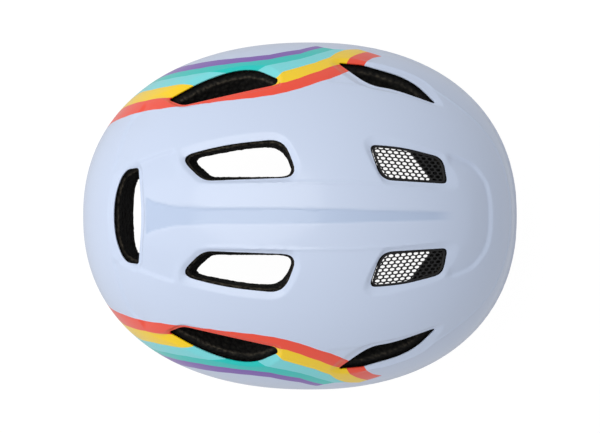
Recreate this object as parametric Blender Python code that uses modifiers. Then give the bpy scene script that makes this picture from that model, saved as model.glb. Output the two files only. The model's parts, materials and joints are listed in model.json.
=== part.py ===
"""A small child's cycling helmet, as an assembly of separate parts.

The helmet faces -Y, +Z is up and +X is the wearer's left. The origin is the centre of the head opening,
level with the lowest point of the rim. Driving dimensions are below; lengths are in metres, and the short
outlines are in millimetres and are scaled by MM where they are used.
"""

import math

import bmesh
import bpy
from mathutils import Matrix, Vector

MM = 0.001

# Outer dome: plan reach from its widest station, and heights.
HALF_WIDTH = 98 * MM
FRONT_REACH = 116.8 * MM
REAR_REACH = 128.2 * MM
WIDEST_Y = -5.7 * MM
WIDEST_Z = 40 * MM
CROWN_RISE = 102 * MM
TUCK = 0.05  # how far the skirt draws in between the widest level and z = 0, as a share of the plan radius
SQUARENESS = 2.22  # exponent of the plan outline near the widest level; 2 is an ellipse
CROWN_ROUNDNESS = 0.82  # share of a plain ellipsoid in the dome's profile; the rest fills its shoulders
RIM_HEIGHTS = ((0, 14), (58, 3), (95, 12), (135, 0), (180, 5))  # degrees from the front, height in mm

# Layers of the helmet, from outside in.
SHELL_THICKNESS = 0.8 * MM
LAYER_GAP = 0.5 * MM
TRIM_HEIGHT = 7 * MM
TRIM_THICKNESS = 1.2 * MM
FOAM_SIDE = 23 * MM
FOAM_ENDS = 26.9 * MM
FOAM_CROWN = 25 * MM
SECTORS = 40
DOME_RINGS = 8
SKIRT_RINGS = 2

# Head-band: the temple pins, the dial and its rack and pinion.
TEMPLE = Vector((70.5, -42, 24)) * MM
DIAL = Vector((0, 75.5, -12)) * MM  # on the dial's axis, in the middle of the racks
PITCH_RADIUS = 5 * MM
TEETH = 8
RACK_INNER_END, RACK_OUTER_END = -11.2, 24  # in mm from the dial's axis
RACK_TEETH = range(-3, 4)
BELT_HEIGHT = 8 * MM
BELT_THICKNESS = 1.6 * MM
CRADLE_BACK = 72.2 * MM  # outer face of the cradle, which the dial housing sits on
HOUSING_HALF = Vector((28, 0, 14)) * MM
HOUSING_DEPTH = 7.6 * MM
HEIGHT_ARM = Vector((23.9, 81.4, 34)) * MM  # middle of a height arm, inside its clip

# Webbing and its hardware.
WEB_WIDTH = 15 * MM
WEB_THICKNESS = 1.2 * MM
DOUBLE_WEB = 2.4 * MM
SPLITTER = Vector((72.5, -3, -53)) * MM
FRONT_STRAP_TOP = Vector((79.8, -58.5, 22)) * MM
REAR_STRAP_TOP = Vector((75.6, 61.5, 20)) * MM
BUCKLE_MOUTH = Vector((6, -20, -106)) * MM
FEMALE_LENGTH = 26 * MM
MALE_LENGTH = 15 * MM

# Plan outlines of the vents on the wearer's left, in mm: corners as (x, y, corner reach).
CENTRE_VENT = ((32.1, 66.2, 9), (38.7, 40.4, 13), (41.8, 8.9, 8.5), (20.7, 0.6, 9), (18.9, 52.4, 5))
CENTRE_VENT_INNER = ((31.1, 58.7, 5), (36.7, 29.6, 14), (37.5, 10.7, 7), (21.5, 2.2, 8), (21.5, 47.9, 2))
MESH_VENT = ((38.7, -37.0, 4.5), (37.3, -55.6, 9), (31.6, -78.1, 5.5), (17.4, -80.5, 3.5), (19.4, -43.7, 6.5))
MESH_VENT_INNER = ((37.0, -38.9, 2), (38.1, -46.5, 6), (35.4, -60.6, 1), (18.9, -72.1, 1), (20.5, -44.7, 8))
REAR_SLOT = ((26.4, 88.3, 1.2), (25.3, 96.8, 7), (10.2, 102.4, 12), (-10.2, 102.4, 12), (-25.3, 96.8, 7),
             (-26.4, 88.3, 1.2), (0, 86.0, 18))
REAR_SLOT_INNER = ((20.9, 84, 1.2), (20.9, 92.3, 4.5), (12, 93.8, 8), (-12, 93.8, 8), (-20.9, 92.3, 4.5),
                   (-20.9, 84, 1.2), (0, 84, 10))
SIDE_VENT = ((64.1, 73.0, 2.5), (76.9, 49.4, 14), (82.0, 26.4, 12.5), (74.8, 11.7, 1.7), (71.6, 13.1, 1.7),
             (60.4, 64.2, 3))
LEAF_VENT = ((84.8, -19.8, 4), (83.5, -34.5, 2), (75.8, -61.5, 13), (61.0, -75.8, 4), (69.5, -50.7, 9),
             (71.2, -37.8, 9.5))
VENT_TOP = 160 * MM
VENT_RUN_ON = 15 * MM  # how far a top vent's cutter runs on below the cavity's roof
SLOT_FOOT = -10 * MM
SLOT_SPREAD = 1.04  # how much wider the rear slot's cutter is at its foot
NET_CENTRE = (28, -60)
NET_INSET = (0.05, 0.10)  # shares by which the net's outline draws in from the vent's, towards NET_CENTRE
NET_DEPTHS = (2.2 * MM, 3.2 * MM)  # its two faces, below the shell's outside
SIDE_VENT_RUN = Vector((-30, -4, -24)) * MM
LEAF_VENT_RUN = Vector((-34, 12, -14)) * MM


# ---------------------------------------------------------------- scene and materials

def clear_scene():
    for old in list(bpy.data.objects):
        bpy.data.objects.remove(old)


def new_collection(name, hidden=False):
    made = bpy.data.collections.new(name)
    made.hide_render = hidden
    bpy.context.scene.collection.children.link(made)
    return made


def material(name, colour, roughness, metallic=0.0):
    made = bpy.data.materials.new(name)
    made.use_nodes = True
    shader = made.node_tree.nodes["Principled BSDF"]
    shader.inputs["Base Color"].default_value = (*colour, 1)
    shader.inputs["Roughness"].default_value = roughness
    shader.inputs["Metallic"].default_value = metallic
    return made


clear_scene()
HELMET = new_collection("cycling_helmet")
CUTTERS = new_collection("cutters", hidden=True)
LILAC = material("shell", (0.58, 0.64, 0.79), 0.16)
TRIM = material("trim", (0.05, 0.05, 0.055), 0.4)
FOAM = material("foam", (0.018, 0.017, 0.015), 0.8)
NET = material("net", (0.012, 0.012, 0.013), 0.5)
PADDING = material("padding", (0.06, 0.065, 0.075), 0.95)
HOOK = material("hook_tape", (0.02, 0.02, 0.02), 0.9)
PLASTIC = material("hard_plastic", (0.03, 0.03, 0.033), 0.38)
DIAL_GREY = material("dial_grey", (0.30, 0.33, 0.40), 0.35)
WEBBING = material("webbing", (0.03, 0.03, 0.033), 0.85)
RUBBER = material("keeper_rubber", (0.02, 0.02, 0.02), 0.7)
STEEL = material("steel", (0.6, 0.6, 0.6), 0.3, 1.0)


# ---------------------------------------------------------------- making and joining objects

def add_mesh(name, mesh, surface, matrix=None, collection=None):
    made = bpy.data.objects.new(name, mesh)
    (collection or HELMET).objects.link(made)
    made.matrix_world = matrix or Matrix.Identity(4)
    if surface:
        mesh.materials.clear()
        mesh.materials.append(surface)
    if collection is CUTTERS:
        made.hide_render = True
        made.display_type = "WIRE"
    return made


def finish(bm, name):
    """The bmesh as a mesh whose faces point outwards."""
    bmesh.ops.recalc_face_normals(bm, faces=bm.faces)
    mesh = bpy.data.meshes.new(name)
    bm.to_mesh(mesh)
    bm.free()
    return mesh


def block(name, low, high, surface=None, matrix=None, collection=None):
    """A box between two corners, in mm, in the frame given by matrix."""
    low, high = Vector(low) * MM, Vector(high) * MM
    bm = bmesh.new()
    place = Matrix.Translation((low + high) / 2) @ Matrix.Diagonal((*(high - low), 1))
    bmesh.ops.create_cube(bm, size=1, matrix=place)
    return add_mesh(name, finish(bm, name), surface, matrix, collection)


def rod(name, start, end, radius, surface=None, matrix=None, collection=None, sides=24):
    """A cylinder between two points, in mm, in the frame given by matrix."""
    start, end = Vector(start) * MM, Vector(end) * MM
    turn = (end - start).to_track_quat("Z", "Y").to_matrix().to_4x4()
    bm = bmesh.new()
    bmesh.ops.create_cone(bm, cap_ends=True, segments=sides, radius1=radius * MM, radius2=radius * MM,
                          depth=(end - start).length, matrix=Matrix.Translation((start + end) / 2) @ turn)
    made = add_mesh(name, finish(bm, name), surface, matrix, collection)
    smooth(made)
    return made


def plate(name, outlines, thickness, surface=None, matrix=None, collection=None):
    """A flat plate centred on the local XY plane. Outlines are in mm; those after the first are holes."""
    curve = bpy.data.curves.new(name, "CURVE")
    curve.dimensions = "2D"
    curve.fill_mode = "BOTH"
    curve.extrude = thickness * MM / 2
    for outline in outlines:
        spline = curve.splines.new("POLY")
        spline.points.add(len(outline) - 1)
        for point, (x, y) in zip(spline.points, outline):
            point.co = (x * MM, y * MM, 0, 1)
        spline.use_cyclic_u = True
    drawn = bpy.data.objects.new(name + "_outline", curve)
    HELMET.objects.link(drawn)
    graph = bpy.context.evaluated_depsgraph_get()
    mesh = bpy.data.meshes.new_from_object(drawn.evaluated_get(graph))
    bpy.data.objects.remove(drawn)
    bm = bmesh.new()
    bm.from_mesh(mesh)
    bmesh.ops.remove_doubles(bm, verts=bm.verts, dist=1e-6)
    return add_mesh(name, finish(bm, name), surface, matrix, collection)


def loft(name, rings, surface=None, matrix=None, collection=None):
    """A closed solid through rings of equally many points."""
    bm = bmesh.new()
    rows = [[bm.verts.new(point) for point in ring] for ring in rings]
    count = len(rings[0])
    for upper, lower in zip(rows, rows[1:]):
        for k in range(count):
            bm.faces.new((upper[k], upper[(k + 1) % count], lower[(k + 1) % count], lower[k]))
    bm.faces.new(rows[0])
    bm.faces.new(rows[-1])
    return add_mesh(name, finish(bm, name), surface, matrix, collection)


def boolean(target, tool, operation="DIFFERENCE"):
    step = target.modifiers.new(tool.name, "BOOLEAN")
    step.operation = operation
    step.object = tool
    tool.hide_render = True
    tool.display_type = "WIRE"
    return target


def bevel(target, width, segments=2):
    step = target.modifiers.new("rounding", "BEVEL")
    step.width = width * MM
    step.segments = segments
    step.limit_method = "ANGLE"
    step.angle_limit = math.radians(40)
    return target


def smooth(target):
    target.data.shade_smooth()
    target.data.set_sharp_from_angle(angle=math.radians(35))


def as_built(target):
    """Turns the object's modifiers into its mesh, so that a mirrored copy can share the shape."""
    graph = bpy.context.evaluated_depsgraph_get()
    mesh = bpy.data.meshes.new_from_object(target.evaluated_get(graph))
    target.modifiers.clear()
    target.data = mesh
    return target


def mirrored(source, name):
    """A copy of the object on the wearer's other side."""
    flip = Matrix.Diagonal((-1, 1, 1, 1))
    as_built(source)
    mesh = source.data.copy()
    mesh.transform(flip)
    mesh.flip_normals()
    bpy.context.view_layer.update()
    return add_mesh(name, mesh, None, flip @ source.matrix_world @ flip)


def rename_pair(source, stem):
    """Names a left piece and makes its right one."""
    source.name = stem + "_left"
    mirrored(source, stem + "_right")
    return source


# ---------------------------------------------------------------- curves and sections

def rounded_outline(corners, steps=3):
    """Points round a polygon. Each corner (x, y, reach) is rounded by a curve that starts reach from it."""
    points = []
    for k, (x, y, reach) in enumerate(corners):
        corner = Vector((x, y))
        before = Vector(corners[k - 1][:2]) - corner
        after = Vector(corners[(k + 1) % len(corners)][:2]) - corner
        start = corner + before.normalized() * min(reach, before.length * 0.49)
        end = corner + after.normalized() * min(reach, after.length * 0.49)
        for step in range(steps + 1):
            t = step / steps
            points.append(tuple(start * (1 - t) ** 2 + corner * 2 * t * (1 - t) + end * t ** 2))
    return points


def rounded_box(width, height, reach, x=0.0, y=0.0):
    half, tall = width / 2, height / 2
    corners = ((x - half, y - tall, reach), (x + half, y - tall, reach), (x + half, y + tall, reach),
               (x - half, y + tall, reach))
    return rounded_outline(corners, 2)


def circle(radius, count=24):
    return [(radius * math.cos(k * math.tau / count), radius * math.sin(k * math.tau / count))
            for k in range(count)]


def smooth_path(controls, steps=4):
    """Points on a Catmull-Rom curve through control points given in mm."""
    controls = [Vector(c) * MM for c in controls]
    ends = [controls[0] * 2 - controls[1], *controls, controls[-1] * 2 - controls[-2]]
    path = []
    for a, b, c, d in zip(ends, ends[1:], ends[2:], ends[3:]):
        for step in range(steps):
            t = step / steps
            path.append((b * 2 + (c - a) * t + (a * 2 - b * 5 + c * 4 - d) * t ** 2
                         + (b * 3 - a - c * 3 + d) * t ** 3) / 2)
    return path + [controls[-1]]


def path_frames(path, across):
    """At each point of the path: the point, the direction across the band and the direction through it."""
    frames = []
    for k, point in enumerate(path):
        along = (path[min(k + 1, len(path) - 1)] - path[max(k - 1, 0)]).normalized()
        side = (across - along * across.dot(along)).normalized()
        frames.append((point, side, along.cross(side)))
    return frames


def band(name, path, width, thickness, across, surface=None, lift=0.0, collection=None):
    """A flat band along a path. lift moves it along its own thickness."""
    rings = []
    for point, side, through in path_frames(path, Vector(across)):
        middle = point + through * lift
        w, t = side * width / 2, through * thickness / 2
        rings.append((middle - w - t, middle + w - t, middle + w + t, middle - w + t))
    return loft(name, rings, surface, collection=collection)


# ---------------------------------------------------------------- the dome

class Dome:
    """A helmet-shaped dome, whose plan turns from an ellipse at the crown into a squarer outline below."""

    def __init__(self, inset_side, inset_ends, inset_crown, tuck):
        self.half_width = HALF_WIDTH - inset_side
        self.front = FRONT_REACH - inset_ends
        self.rear = REAR_REACH - inset_ends
        self.rise = CROWN_RISE - inset_crown
        self.tuck = tuck

    def norms(self, x, y):
        across = abs(x) / self.half_width
        along = abs(y - WIDEST_Y) / (self.front if y < WIDEST_Y else self.rear)
        return math.hypot(across, along), (across ** SQUARENESS + along ** SQUARENESS) ** (1 / SQUARENESS)

    def share(self, x, y):
        """0 on the crown's axis and 1 at the widest outline."""
        ellipse, square = self.norms(x, y)
        return ellipse + (square - ellipse) * ellipse ** 2

    def plan_point(self, turn, share):
        """Plan point at an angle from the front, towards the wearer's left, on the outline of that share."""
        toward = Vector((math.sin(turn), -math.cos(turn)))
        ellipse, square = self.norms(toward.x, WIDEST_Y + toward.y)
        reach = share / ellipse
        for _ in range(30):
            reach = share / (ellipse + (square - ellipse) * (reach * ellipse) ** 2)
        return toward.x * reach, WIDEST_Y + toward.y * reach

    def height(self, x, y):
        share = min(self.share(x, y), 1.0)
        fill = CROWN_ROUNDNESS * share ** 2 + (1 - CROWN_ROUNDNESS) * share ** 6
        return WIDEST_Z + self.rise * math.sqrt(max(0.0, 1 - fill))

    def on_dome(self, turn, angle):
        """Surface point above the widest level. angle is 0 at the crown and a quarter turn at the widest."""
        x, y = self.plan_point(turn, math.sin(angle))
        return Vector((x, y, self.height(x, y)))

    def on_skirt(self, turn, z):
        drop = (WIDEST_Z - z) / WIDEST_Z
        return Vector((*self.plan_point(turn, 1 - self.tuck * drop ** 2), z))


OUTER = Dome(0, 0, 0, TUCK)
SHELL_INSET = SHELL_THICKNESS + LAYER_GAP
FOAM_OUTER = Dome(SHELL_INSET, SHELL_INSET, SHELL_INSET, TUCK)
TRIM_INSET = TRIM_THICKNESS + LAYER_GAP - SHELL_INSET
TRIM_OUTER = Dome(-TRIM_INSET, -TRIM_INSET, 0, TUCK)
CAVITY = Dome(FOAM_SIDE, FOAM_ENDS, FOAM_CROWN, 0.0)


def rim_height(turn):
    """Height of the rim's lower edge, eased between the key heights."""
    degrees = abs((math.degrees(turn) + 180) % 360 - 180)
    for (start, low), (end, high) in zip(RIM_HEIGHTS, RIM_HEIGHTS[1:]):
        if degrees <= end:
            t = (degrees - start) / (end - start)
            return (low + (high - low) * t * t * (3 - 2 * t)) * MM
    return RIM_HEIGHTS[-1][1] * MM


def dome_sheet(bm, dome, edge_lift):
    """Adds an open dome, down to edge_lift above the rim, and returns its lower edge."""
    rings = 2 * DOME_RINGS
    sphere = bmesh.ops.create_uvsphere(bm, u_segments=SECTORS, v_segments=rings, radius=1)["verts"]
    lowest = DOME_RINGS + SKIRT_RINGS
    ring_of = {v: round(math.acos(max(-1, min(1, v.co.z))) / math.pi * rings) for v in sphere}
    bmesh.ops.delete(bm, geom=[v for v in sphere if ring_of[v] > lowest], context="VERTS")
    kept = [v for v in sphere if v.is_valid]
    for v in kept:
        turn = math.atan2(v.co.x, -v.co.y)
        ring = ring_of[v]
        if ring <= DOME_RINGS:
            v.co = dome.on_dome(turn, ring / DOME_RINGS * math.pi / 2)
        else:
            edge = rim_height(turn) + edge_lift
            v.co = dome.on_skirt(turn, WIDEST_Z + (edge - WIDEST_Z) * (ring - DOME_RINGS) / SKIRT_RINGS)
    kept = set(kept)
    return [e for e in bm.edges if e.is_boundary and set(e.verts) <= kept]


def solidify(target, thickness, offset):
    step = target.modifiers.new("thickness", "SOLIDIFY")
    step.thickness = thickness
    step.offset = offset
    return target


def make_shell():
    bm = bmesh.new()
    dome_sheet(bm, OUTER, TRIM_HEIGHT)
    shell = add_mesh("outer_shell", finish(bm, "outer_shell"), LILAC)
    smooth(shell)
    return solidify(shell, SHELL_THICKNESS, -1)


def make_liner():
    bm = bmesh.new()
    outside = dome_sheet(bm, FOAM_OUTER, 0)
    inside = dome_sheet(bm, CAVITY, 2.5 * MM)
    bmesh.ops.bridge_loops(bm, edges=outside + inside)
    liner = add_mesh("foam_liner", finish(bm, "foam_liner"), FOAM)
    smooth(liner)
    return liner


def make_rim_trim():
    """The dark strip that covers the foam below the shell's lower edge."""
    bm = bmesh.new()
    ends = bmesh.ops.create_cone(bm, cap_ends=False, segments=SECTORS, radius1=1, radius2=1, depth=1)["verts"]
    for v in ends:
        turn = math.atan2(v.co.x, -v.co.y)
        rise = TRIM_HEIGHT - LAYER_GAP if v.co.z > 0 else 0.0
        v.co = TRIM_OUTER.on_skirt(turn, rim_height(turn) + rise)
    trim = add_mesh("rim_trim", finish(bm, "rim_trim"), TRIM)
    smooth(trim)
    return solidify(trim, TRIM_THICKNESS, -1)


# ---------------------------------------------------------------- vents

def on_surface(dome, points, drop=0.0):
    """Plan points in mm, set on a dome or drop below it."""
    return [Vector((x * MM, y * MM, dome.height(x * MM, y * MM) - drop)) for x, y in points]


def at_level(points, z):
    return [Vector((x * MM, y * MM, z)) for x, y in points]


def top_vent(name, outer, inner, foot=None):
    """A vent cut from above. It narrows from its outline in the shell to its outline in the cavity's roof."""
    outline, opening = rounded_outline(outer), rounded_outline(inner)
    foot = foot or on_surface(CAVITY, opening, VENT_RUN_ON)
    rings = (at_level(outline, VENT_TOP), on_surface(OUTER, outline), on_surface(CAVITY, opening), foot)
    return loft(name, rings, collection=CUTTERS)


def rear_slot():
    """The slot runs on below the cavity's roof as a shallow channel in its rear wall, down to the rim."""
    spread = [(x * SLOT_SPREAD, y * SLOT_SPREAD) for x, y in rounded_outline(REAR_SLOT_INNER)]
    return top_vent("rear_slot", REAR_SLOT, REAR_SLOT_INNER, at_level(spread, SLOT_FOOT))


def side_vent(name, outer, run, narrowing=0.72):
    """A vent cut inwards through the side, along run."""
    ring = on_surface(OUTER, rounded_outline(outer))
    centre = sum(ring, Vector()) / len(ring)
    outside = [point - run * 0.7 for point in ring]
    inside = [centre + (point - centre) * narrowing + run for point in ring]
    return loft(name, (outside, ring, inside), collection=CUTTERS)


def mirrored_cutter(source):
    """The same cutter on the wearer's right."""
    flip = Matrix.Diagonal((-1, 1, 1, 1))
    mesh = source.data.copy()
    mesh.transform(flip)
    mesh.flip_normals()
    bpy.context.view_layer.update()
    return add_mesh(source.name + "_mirror", mesh, None, flip @ source.matrix_world @ flip, CUTTERS)


def vent_cutters():
    paired = [top_vent("centre_vent", CENTRE_VENT, CENTRE_VENT_INNER),
              top_vent("mesh_vent", MESH_VENT, MESH_VENT_INNER),
              side_vent("side_vent", SIDE_VENT, SIDE_VENT_RUN),
              side_vent("leaf_vent", LEAF_VENT, LEAF_VENT_RUN)]
    return [rear_slot(), *paired, *map(mirrored_cutter, paired)]


def make_bug_mesh():
    """The insect net in a front vent: one thin panel just under the shell."""
    inset = [(x + (NET_CENTRE[0] - x) * NET_INSET[0], y + (NET_CENTRE[1] - y) * NET_INSET[1])
             for x, y in rounded_outline(MESH_VENT)]
    top, bottom = (on_surface(OUTER, inset, depth) for depth in NET_DEPTHS)
    rename_pair(loft("bug_mesh", (top, bottom), NET), "bug_mesh")


# ---------------------------------------------------------------- padding

def lining_patch(name, place, thickness, clearance, surface, segments=(8, 4)):
    """A pad on the cavity's wall. place turns (u, v) from 0 to 1 into a point of the wall."""
    step = 1e-3
    bm = bmesh.new()
    bmesh.ops.create_grid(bm, x_segments=segments[0], y_segments=segments[1], size=0.5)
    centre = Vector((0, WIDEST_Y, WIDEST_Z))
    for v in bm.verts:
        u, w = v.co.x + 0.5, v.co.y + 0.5
        point = place(u, w)
        inward = (place(u + step, w) - point).cross(place(u, w + step) - point).normalized()
        if inward.dot(centre - point) < 0:
            inward = -inward
        v.co = point + inward * clearance * MM
    for face in bm.faces:
        face.normal_update()
        if face.normal.dot(centre - face.calc_center_median()) < 0:
            face.normal_flip()
    mesh = bpy.data.meshes.new(name)
    bm.to_mesh(mesh)
    bm.free()
    return solidify(add_mesh(name, mesh, surface), thickness * MM, 1)


def wall_place(turns, heights):
    """Part of the cavity's wall between two angles from the front, in degrees, and two heights, in mm."""
    def place(u, v):
        turn = math.radians(turns[0] + (turns[1] - turns[0]) * u)
        z = (heights[0] + (heights[1] - heights[0]) * v) * MM
        if z <= WIDEST_Z:
            return CAVITY.on_skirt(turn, z)
        angle = math.acos(min(1.0, (z - WIDEST_Z) / CAVITY.rise))
        return CAVITY.on_dome(turn, angle)
    return place


def roof_place(xs, ys):
    """Part of the cavity's roof between two pairs of plan lines, in mm."""
    def place(u, v):
        x, y = (xs[0] + (xs[1] - xs[0]) * u) * MM, (ys[0] + (ys[1] - ys[0]) * v) * MM
        return Vector((x, y, CAVITY.height(x, y)))
    return place


def make_padding():
    hook, pad = dict(thickness=0.6, clearance=0.8, surface=HOOK), dict(clearance=1.8, surface=PADDING)
    lining_patch("brow_pad", wall_place((-50, 50), (21, 43)), 6, segments=(14, 3), **pad)
    lining_patch("crown_pad", roof_place((-12, 12), (-48, 52)), 6, segments=(3, 10), **pad)
    lining_patch("crown_hook_front", roof_place((-8, 8), (-34, -16)), segments=(2, 2), **hook)
    lining_patch("crown_hook_rear", roof_place((-8, 8), (20, 38)), segments=(2, 2), **hook)
    rename_pair(lining_patch("side", roof_place((47, 62), (-32, 6)), 5, segments=(2, 4), **pad), "side_pad")
    rename_pair(lining_patch("rear", wall_place((118, 141), (26, 46)), 5, segments=(4, 3), **pad), "rear_pad")
    rename_pair(lining_patch("hook", wall_place((24, 36), (27, 38)), segments=(3, 2), **hook), "brow_hook")
    rename_pair(lining_patch("hook", roof_place((51, 59), (-22, -6)), segments=(2, 2), **hook), "side_hook")


# ---------------------------------------------------------------- head-band

def make_temple_anchor():
    """A disc set into the foam at the temple, with the pin that the belt turns on."""
    x, y, z = TEMPLE / MM
    disc = rod("temple_anchor", (x + 0.6, y, z), (x + 4.4, y, z), 7, PLASTIC)
    boolean(disc, rod("temple_pin", (x - 4.6, y, z), (x + 2, y, z), 2, collection=CUTTERS), "UNION")
    return rename_pair(disc, "temple_anchor")


def belt_controls(rack_z):
    """The belt's middle line from the temple pin to its rack, on the wearer's left, in mm."""
    x, y, z = TEMPLE / MM
    return ((x - 2.5, y - 5, z + 1), (x - 2, y, z), (69.8, -18, 20), (69.5, 12, 13), (63.5, 40, 5),
            (48, 65, rack_z + 4), (37, 73.6, rack_z + 0.6), (24.6, DIAL.y / MM, rack_z))


def make_belt(side, rack_z):
    """A belt from a temple pin to the dial. side is 1 on the wearer's left and -1 on the right."""
    name = "belt_left" if side > 0 else "belt_right"
    path = smooth_path([(side * x, y, z) for x, y, z in belt_controls(rack_z)])
    belt = band(name, path, BELT_HEIGHT, BELT_THICKNESS, (0, 0, 1), PLASTIC)
    x, y, z = TEMPLE / MM
    hole = rod(name + "_hole", (side * (x - 8), y, z), (side * (x + 4), y, z), 2.3, collection=CUTTERS)
    boolean(belt, hole)
    smooth(belt)
    return belt


def rack_outline(pitch):
    """Side view of a rack above the dial's axis, in mm: a bar with teeth pointing down at the pinion."""
    line = PITCH_RADIUS / MM
    tip, root, top = line - 1.0, line + 1.3, line + 4.4
    points = [(RACK_INNER_END, top), (RACK_INNER_END, root)]
    for tooth in RACK_TEETH:
        x = (tooth + 0.5) * pitch
        points += [(x - 1.05, root), (x - 0.4, tip), (x + 0.4, tip), (x + 1.05, root)]
    return points + [(RACK_OUTER_END, root), (RACK_OUTER_END, top)]


def pinion_outline():
    tip, root = PITCH_RADIUS / MM + 1.0, PITCH_RADIUS / MM - 1.3
    points = []
    for tooth in range(TEETH):
        middle = math.pi / 2 + tooth * math.tau / TEETH
        for radius, half_width in ((root, -1.05), (tip, -0.4), (tip, 0.4), (root, 1.05)):
            angle = middle + half_width / radius
            points.append((radius * math.cos(angle), radius * math.sin(angle)))
    return points


def wavy_circle(radius, wave, lobes, count):
    """A circle whose radius rises and falls."""
    points = []
    for k in range(count):
        angle = k * math.tau / count
        reach = radius + wave * math.cos(lobes * angle)
        points.append((reach * math.cos(angle), reach * math.sin(angle)))
    return points


def dial_frame(y=0.0):
    """Local XY is the dial's face, seen from the helmet's front. Local Z points forward, and y is in mm."""
    turn = Matrix(((1, 0, 0), (0, 0, -1), (0, 1, 0))).to_4x4()
    return Matrix.Translation((DIAL.x, DIAL.y + y * MM, DIAL.z)) @ turn


def dial_tool(name, start, end, radius, sides=24):
    """A round cutter on the dial's axis, between two distances behind the racks, in mm."""
    return rod(name, (0, 0, -start), (0, 0, -end), radius, matrix=dial_frame(), collection=CUTTERS,
               sides=sides)


def make_dial():
    pitch = math.tau * PITCH_RADIUS / MM / TEETH
    above = rack_outline(pitch)
    below = [(-x, -z) for x, z in above]
    plate("rack_left", [above], 3.6, PLASTIC, dial_frame())
    plate("rack_right", [below], 3.6, PLASTIC, dial_frame())
    x, y, z = DIAL / MM
    pinion = plate("pinion", [pinion_outline()], 4.2, PLASTIC, dial_frame())
    boolean(pinion, dial_tool("pinion_shaft", 1, 7.7, 3), "UNION")
    boolean(pinion, dial_tool("pinion_bore", 3, 9, 1.7))
    knob = plate("dial_knob", [wavy_circle(16.5, 0.7, 10, 50)], 9.6, DIAL_GREY, dial_frame(10.6))
    for tool, start, end, radius in (("knob_spring_pocket", 0, 7.3, 12), ("knob_shaft_bore", 0, 8.6, 3.4),
                                     ("knob_screw_hole", 0, 20, 1.8), ("knob_counterbore", 11.4, 20, 4)):
        boolean(knob, dial_tool(tool, start, end, radius))
    bevel(knob, 0.9)
    smooth(knob)
    plate("ratchet_spring", [wavy_circle(10.6, 0.7, 3, 36), circle(7.5)], 1.0, STEEL, dial_frame(6.1))
    screw = rod("dial_screw", (0, 0, -11.9), (0, 0, -4.5), 1.5, STEEL, dial_frame(), sides=16)
    boolean(screw, dial_tool("screw_head", 11.7, 13.4, 3.6), "UNION")
    boolean(screw, dial_tool("screw_socket", 12.4, 15, 1.3, sides=6))


def make_housing():
    """The cover over the racks and pinion, open towards the cradle."""
    half_x, half_z = HOUSING_HALF.x / MM, HOUSING_HALF.z / MM
    y0, z0 = CRADLE_BACK / MM + 0.3, DIAL.z / MM
    y1 = y0 + HOUSING_DEPTH / MM
    cover = block("dial_housing", (-half_x, y0, z0 - half_z), (half_x, y1, z0 + half_z), PLASTIC)
    inside = (half_x - 2, y1 - 1.7, z0 - 1.7 + half_z)
    boolean(cover, block("housing_cavity", (2 - half_x, y0 - 1, z0 + 1.7 - half_z), inside,
                         collection=CUTTERS))
    for side in (-1, 1):
        low, high = (z0 + 0.5, z0 + 12.3) if side > 0 else (z0 - 12.3, z0 - 0.5)
        x0, x1 = sorted((side * (half_x - 3), side * (half_x + 3)))
        boolean(cover, block("belt_entry", (x0, y0 - 1, low), (x1, y1 - 1.7, high),
                             collection=CUTTERS))
    x, y, z = DIAL / MM
    boolean(cover, rod("housing_bore", (x, y, z), (x, y + 9, z), 3.5, collection=CUTTERS))
    for side in (-1, 1):
        screw_x, screw_z = side * 22.5, z0 - side * 6.2
        boolean(cover, rod("cover_boss", (screw_x, y0 + 0.1, screw_z), (screw_x, y1 - 1, screw_z), 2.6,
                           collection=CUTTERS, sides=16), "UNION")
        boolean(cover, rod("cover_thread", (screw_x, y0 - 1, screw_z), (screw_x, y1 - 1.2, screw_z), 1.5,
                           collection=CUTTERS, sides=16))
    return bevel(cover, 0.8, 1)


def cradle_path():
    """Plan line of the cradle round the back of the head: flat behind the dial, then bending forward."""
    y = CRADLE_BACK / MM - 1.1
    half = ((47, y - 15.5), (42.5, y - 7.5), (36.5, y - 1.8), (31, y))
    bend = smooth_path([(x, y, DIAL.z / MM) for x, y in half], 3)
    return [Vector((-p.x, p.y, p.z)) for p in bend] + bend[::-1]


def make_cradle():
    """The cradle that cups the back of the head, with two arms that run up into clips on the foam."""
    cradle = band("cradle", cradle_path(), 2 * HOUSING_HALF.z, 2.2 * MM, (0, 0, 1), PLASTIC)
    x, y, z = HEIGHT_ARM / MM
    foot = CRADLE_BACK / MM - 1.1
    for side in (1, -1):
        upright = smooth_path([(side * x, foot, -7), (side * x, foot, -0.4), (side * x, foot, 3),
                               (side * x, foot + 5.6, 9), (side * x, y, 16), (side * x, y, 52)], 3)
        arm = band("height_arm", upright, 10 * MM, 1.8 * MM, (1, 0, 0), collection=CUTTERS)
        boolean(cradle, arm, "UNION")
        screw_x, screw_z = side * 22.5, DIAL.z / MM - side * 6.2
        boolean(cradle, rod("cradle_screw_hole", (screw_x, 60, screw_z), (screw_x, 80, screw_z), 1.5,
                            collection=CUTTERS, sides=16))
    smooth(cradle)
    return cradle


def make_cover_screws():
    for side, name in ((1, "cover_screw_left"), (-1, "cover_screw_right")):
        x, z, y = side * 22.5, DIAL.z / MM - side * 6.2, CRADLE_BACK / MM
        screw = rod(name, (x, y - 3, z), (x, y + 4.5, z), 1.15, STEEL, sides=16)
        boolean(screw, rod(name + "_head", (x, y - 4.2, z), (x, y - 2.6, z), 2.6, collection=CUTTERS,
                           sides=16), "UNION")


def clip_frame():
    """At the middle of the left height arm, with local Y out into the foam."""
    return Matrix.Translation(HEIGHT_ARM)


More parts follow.
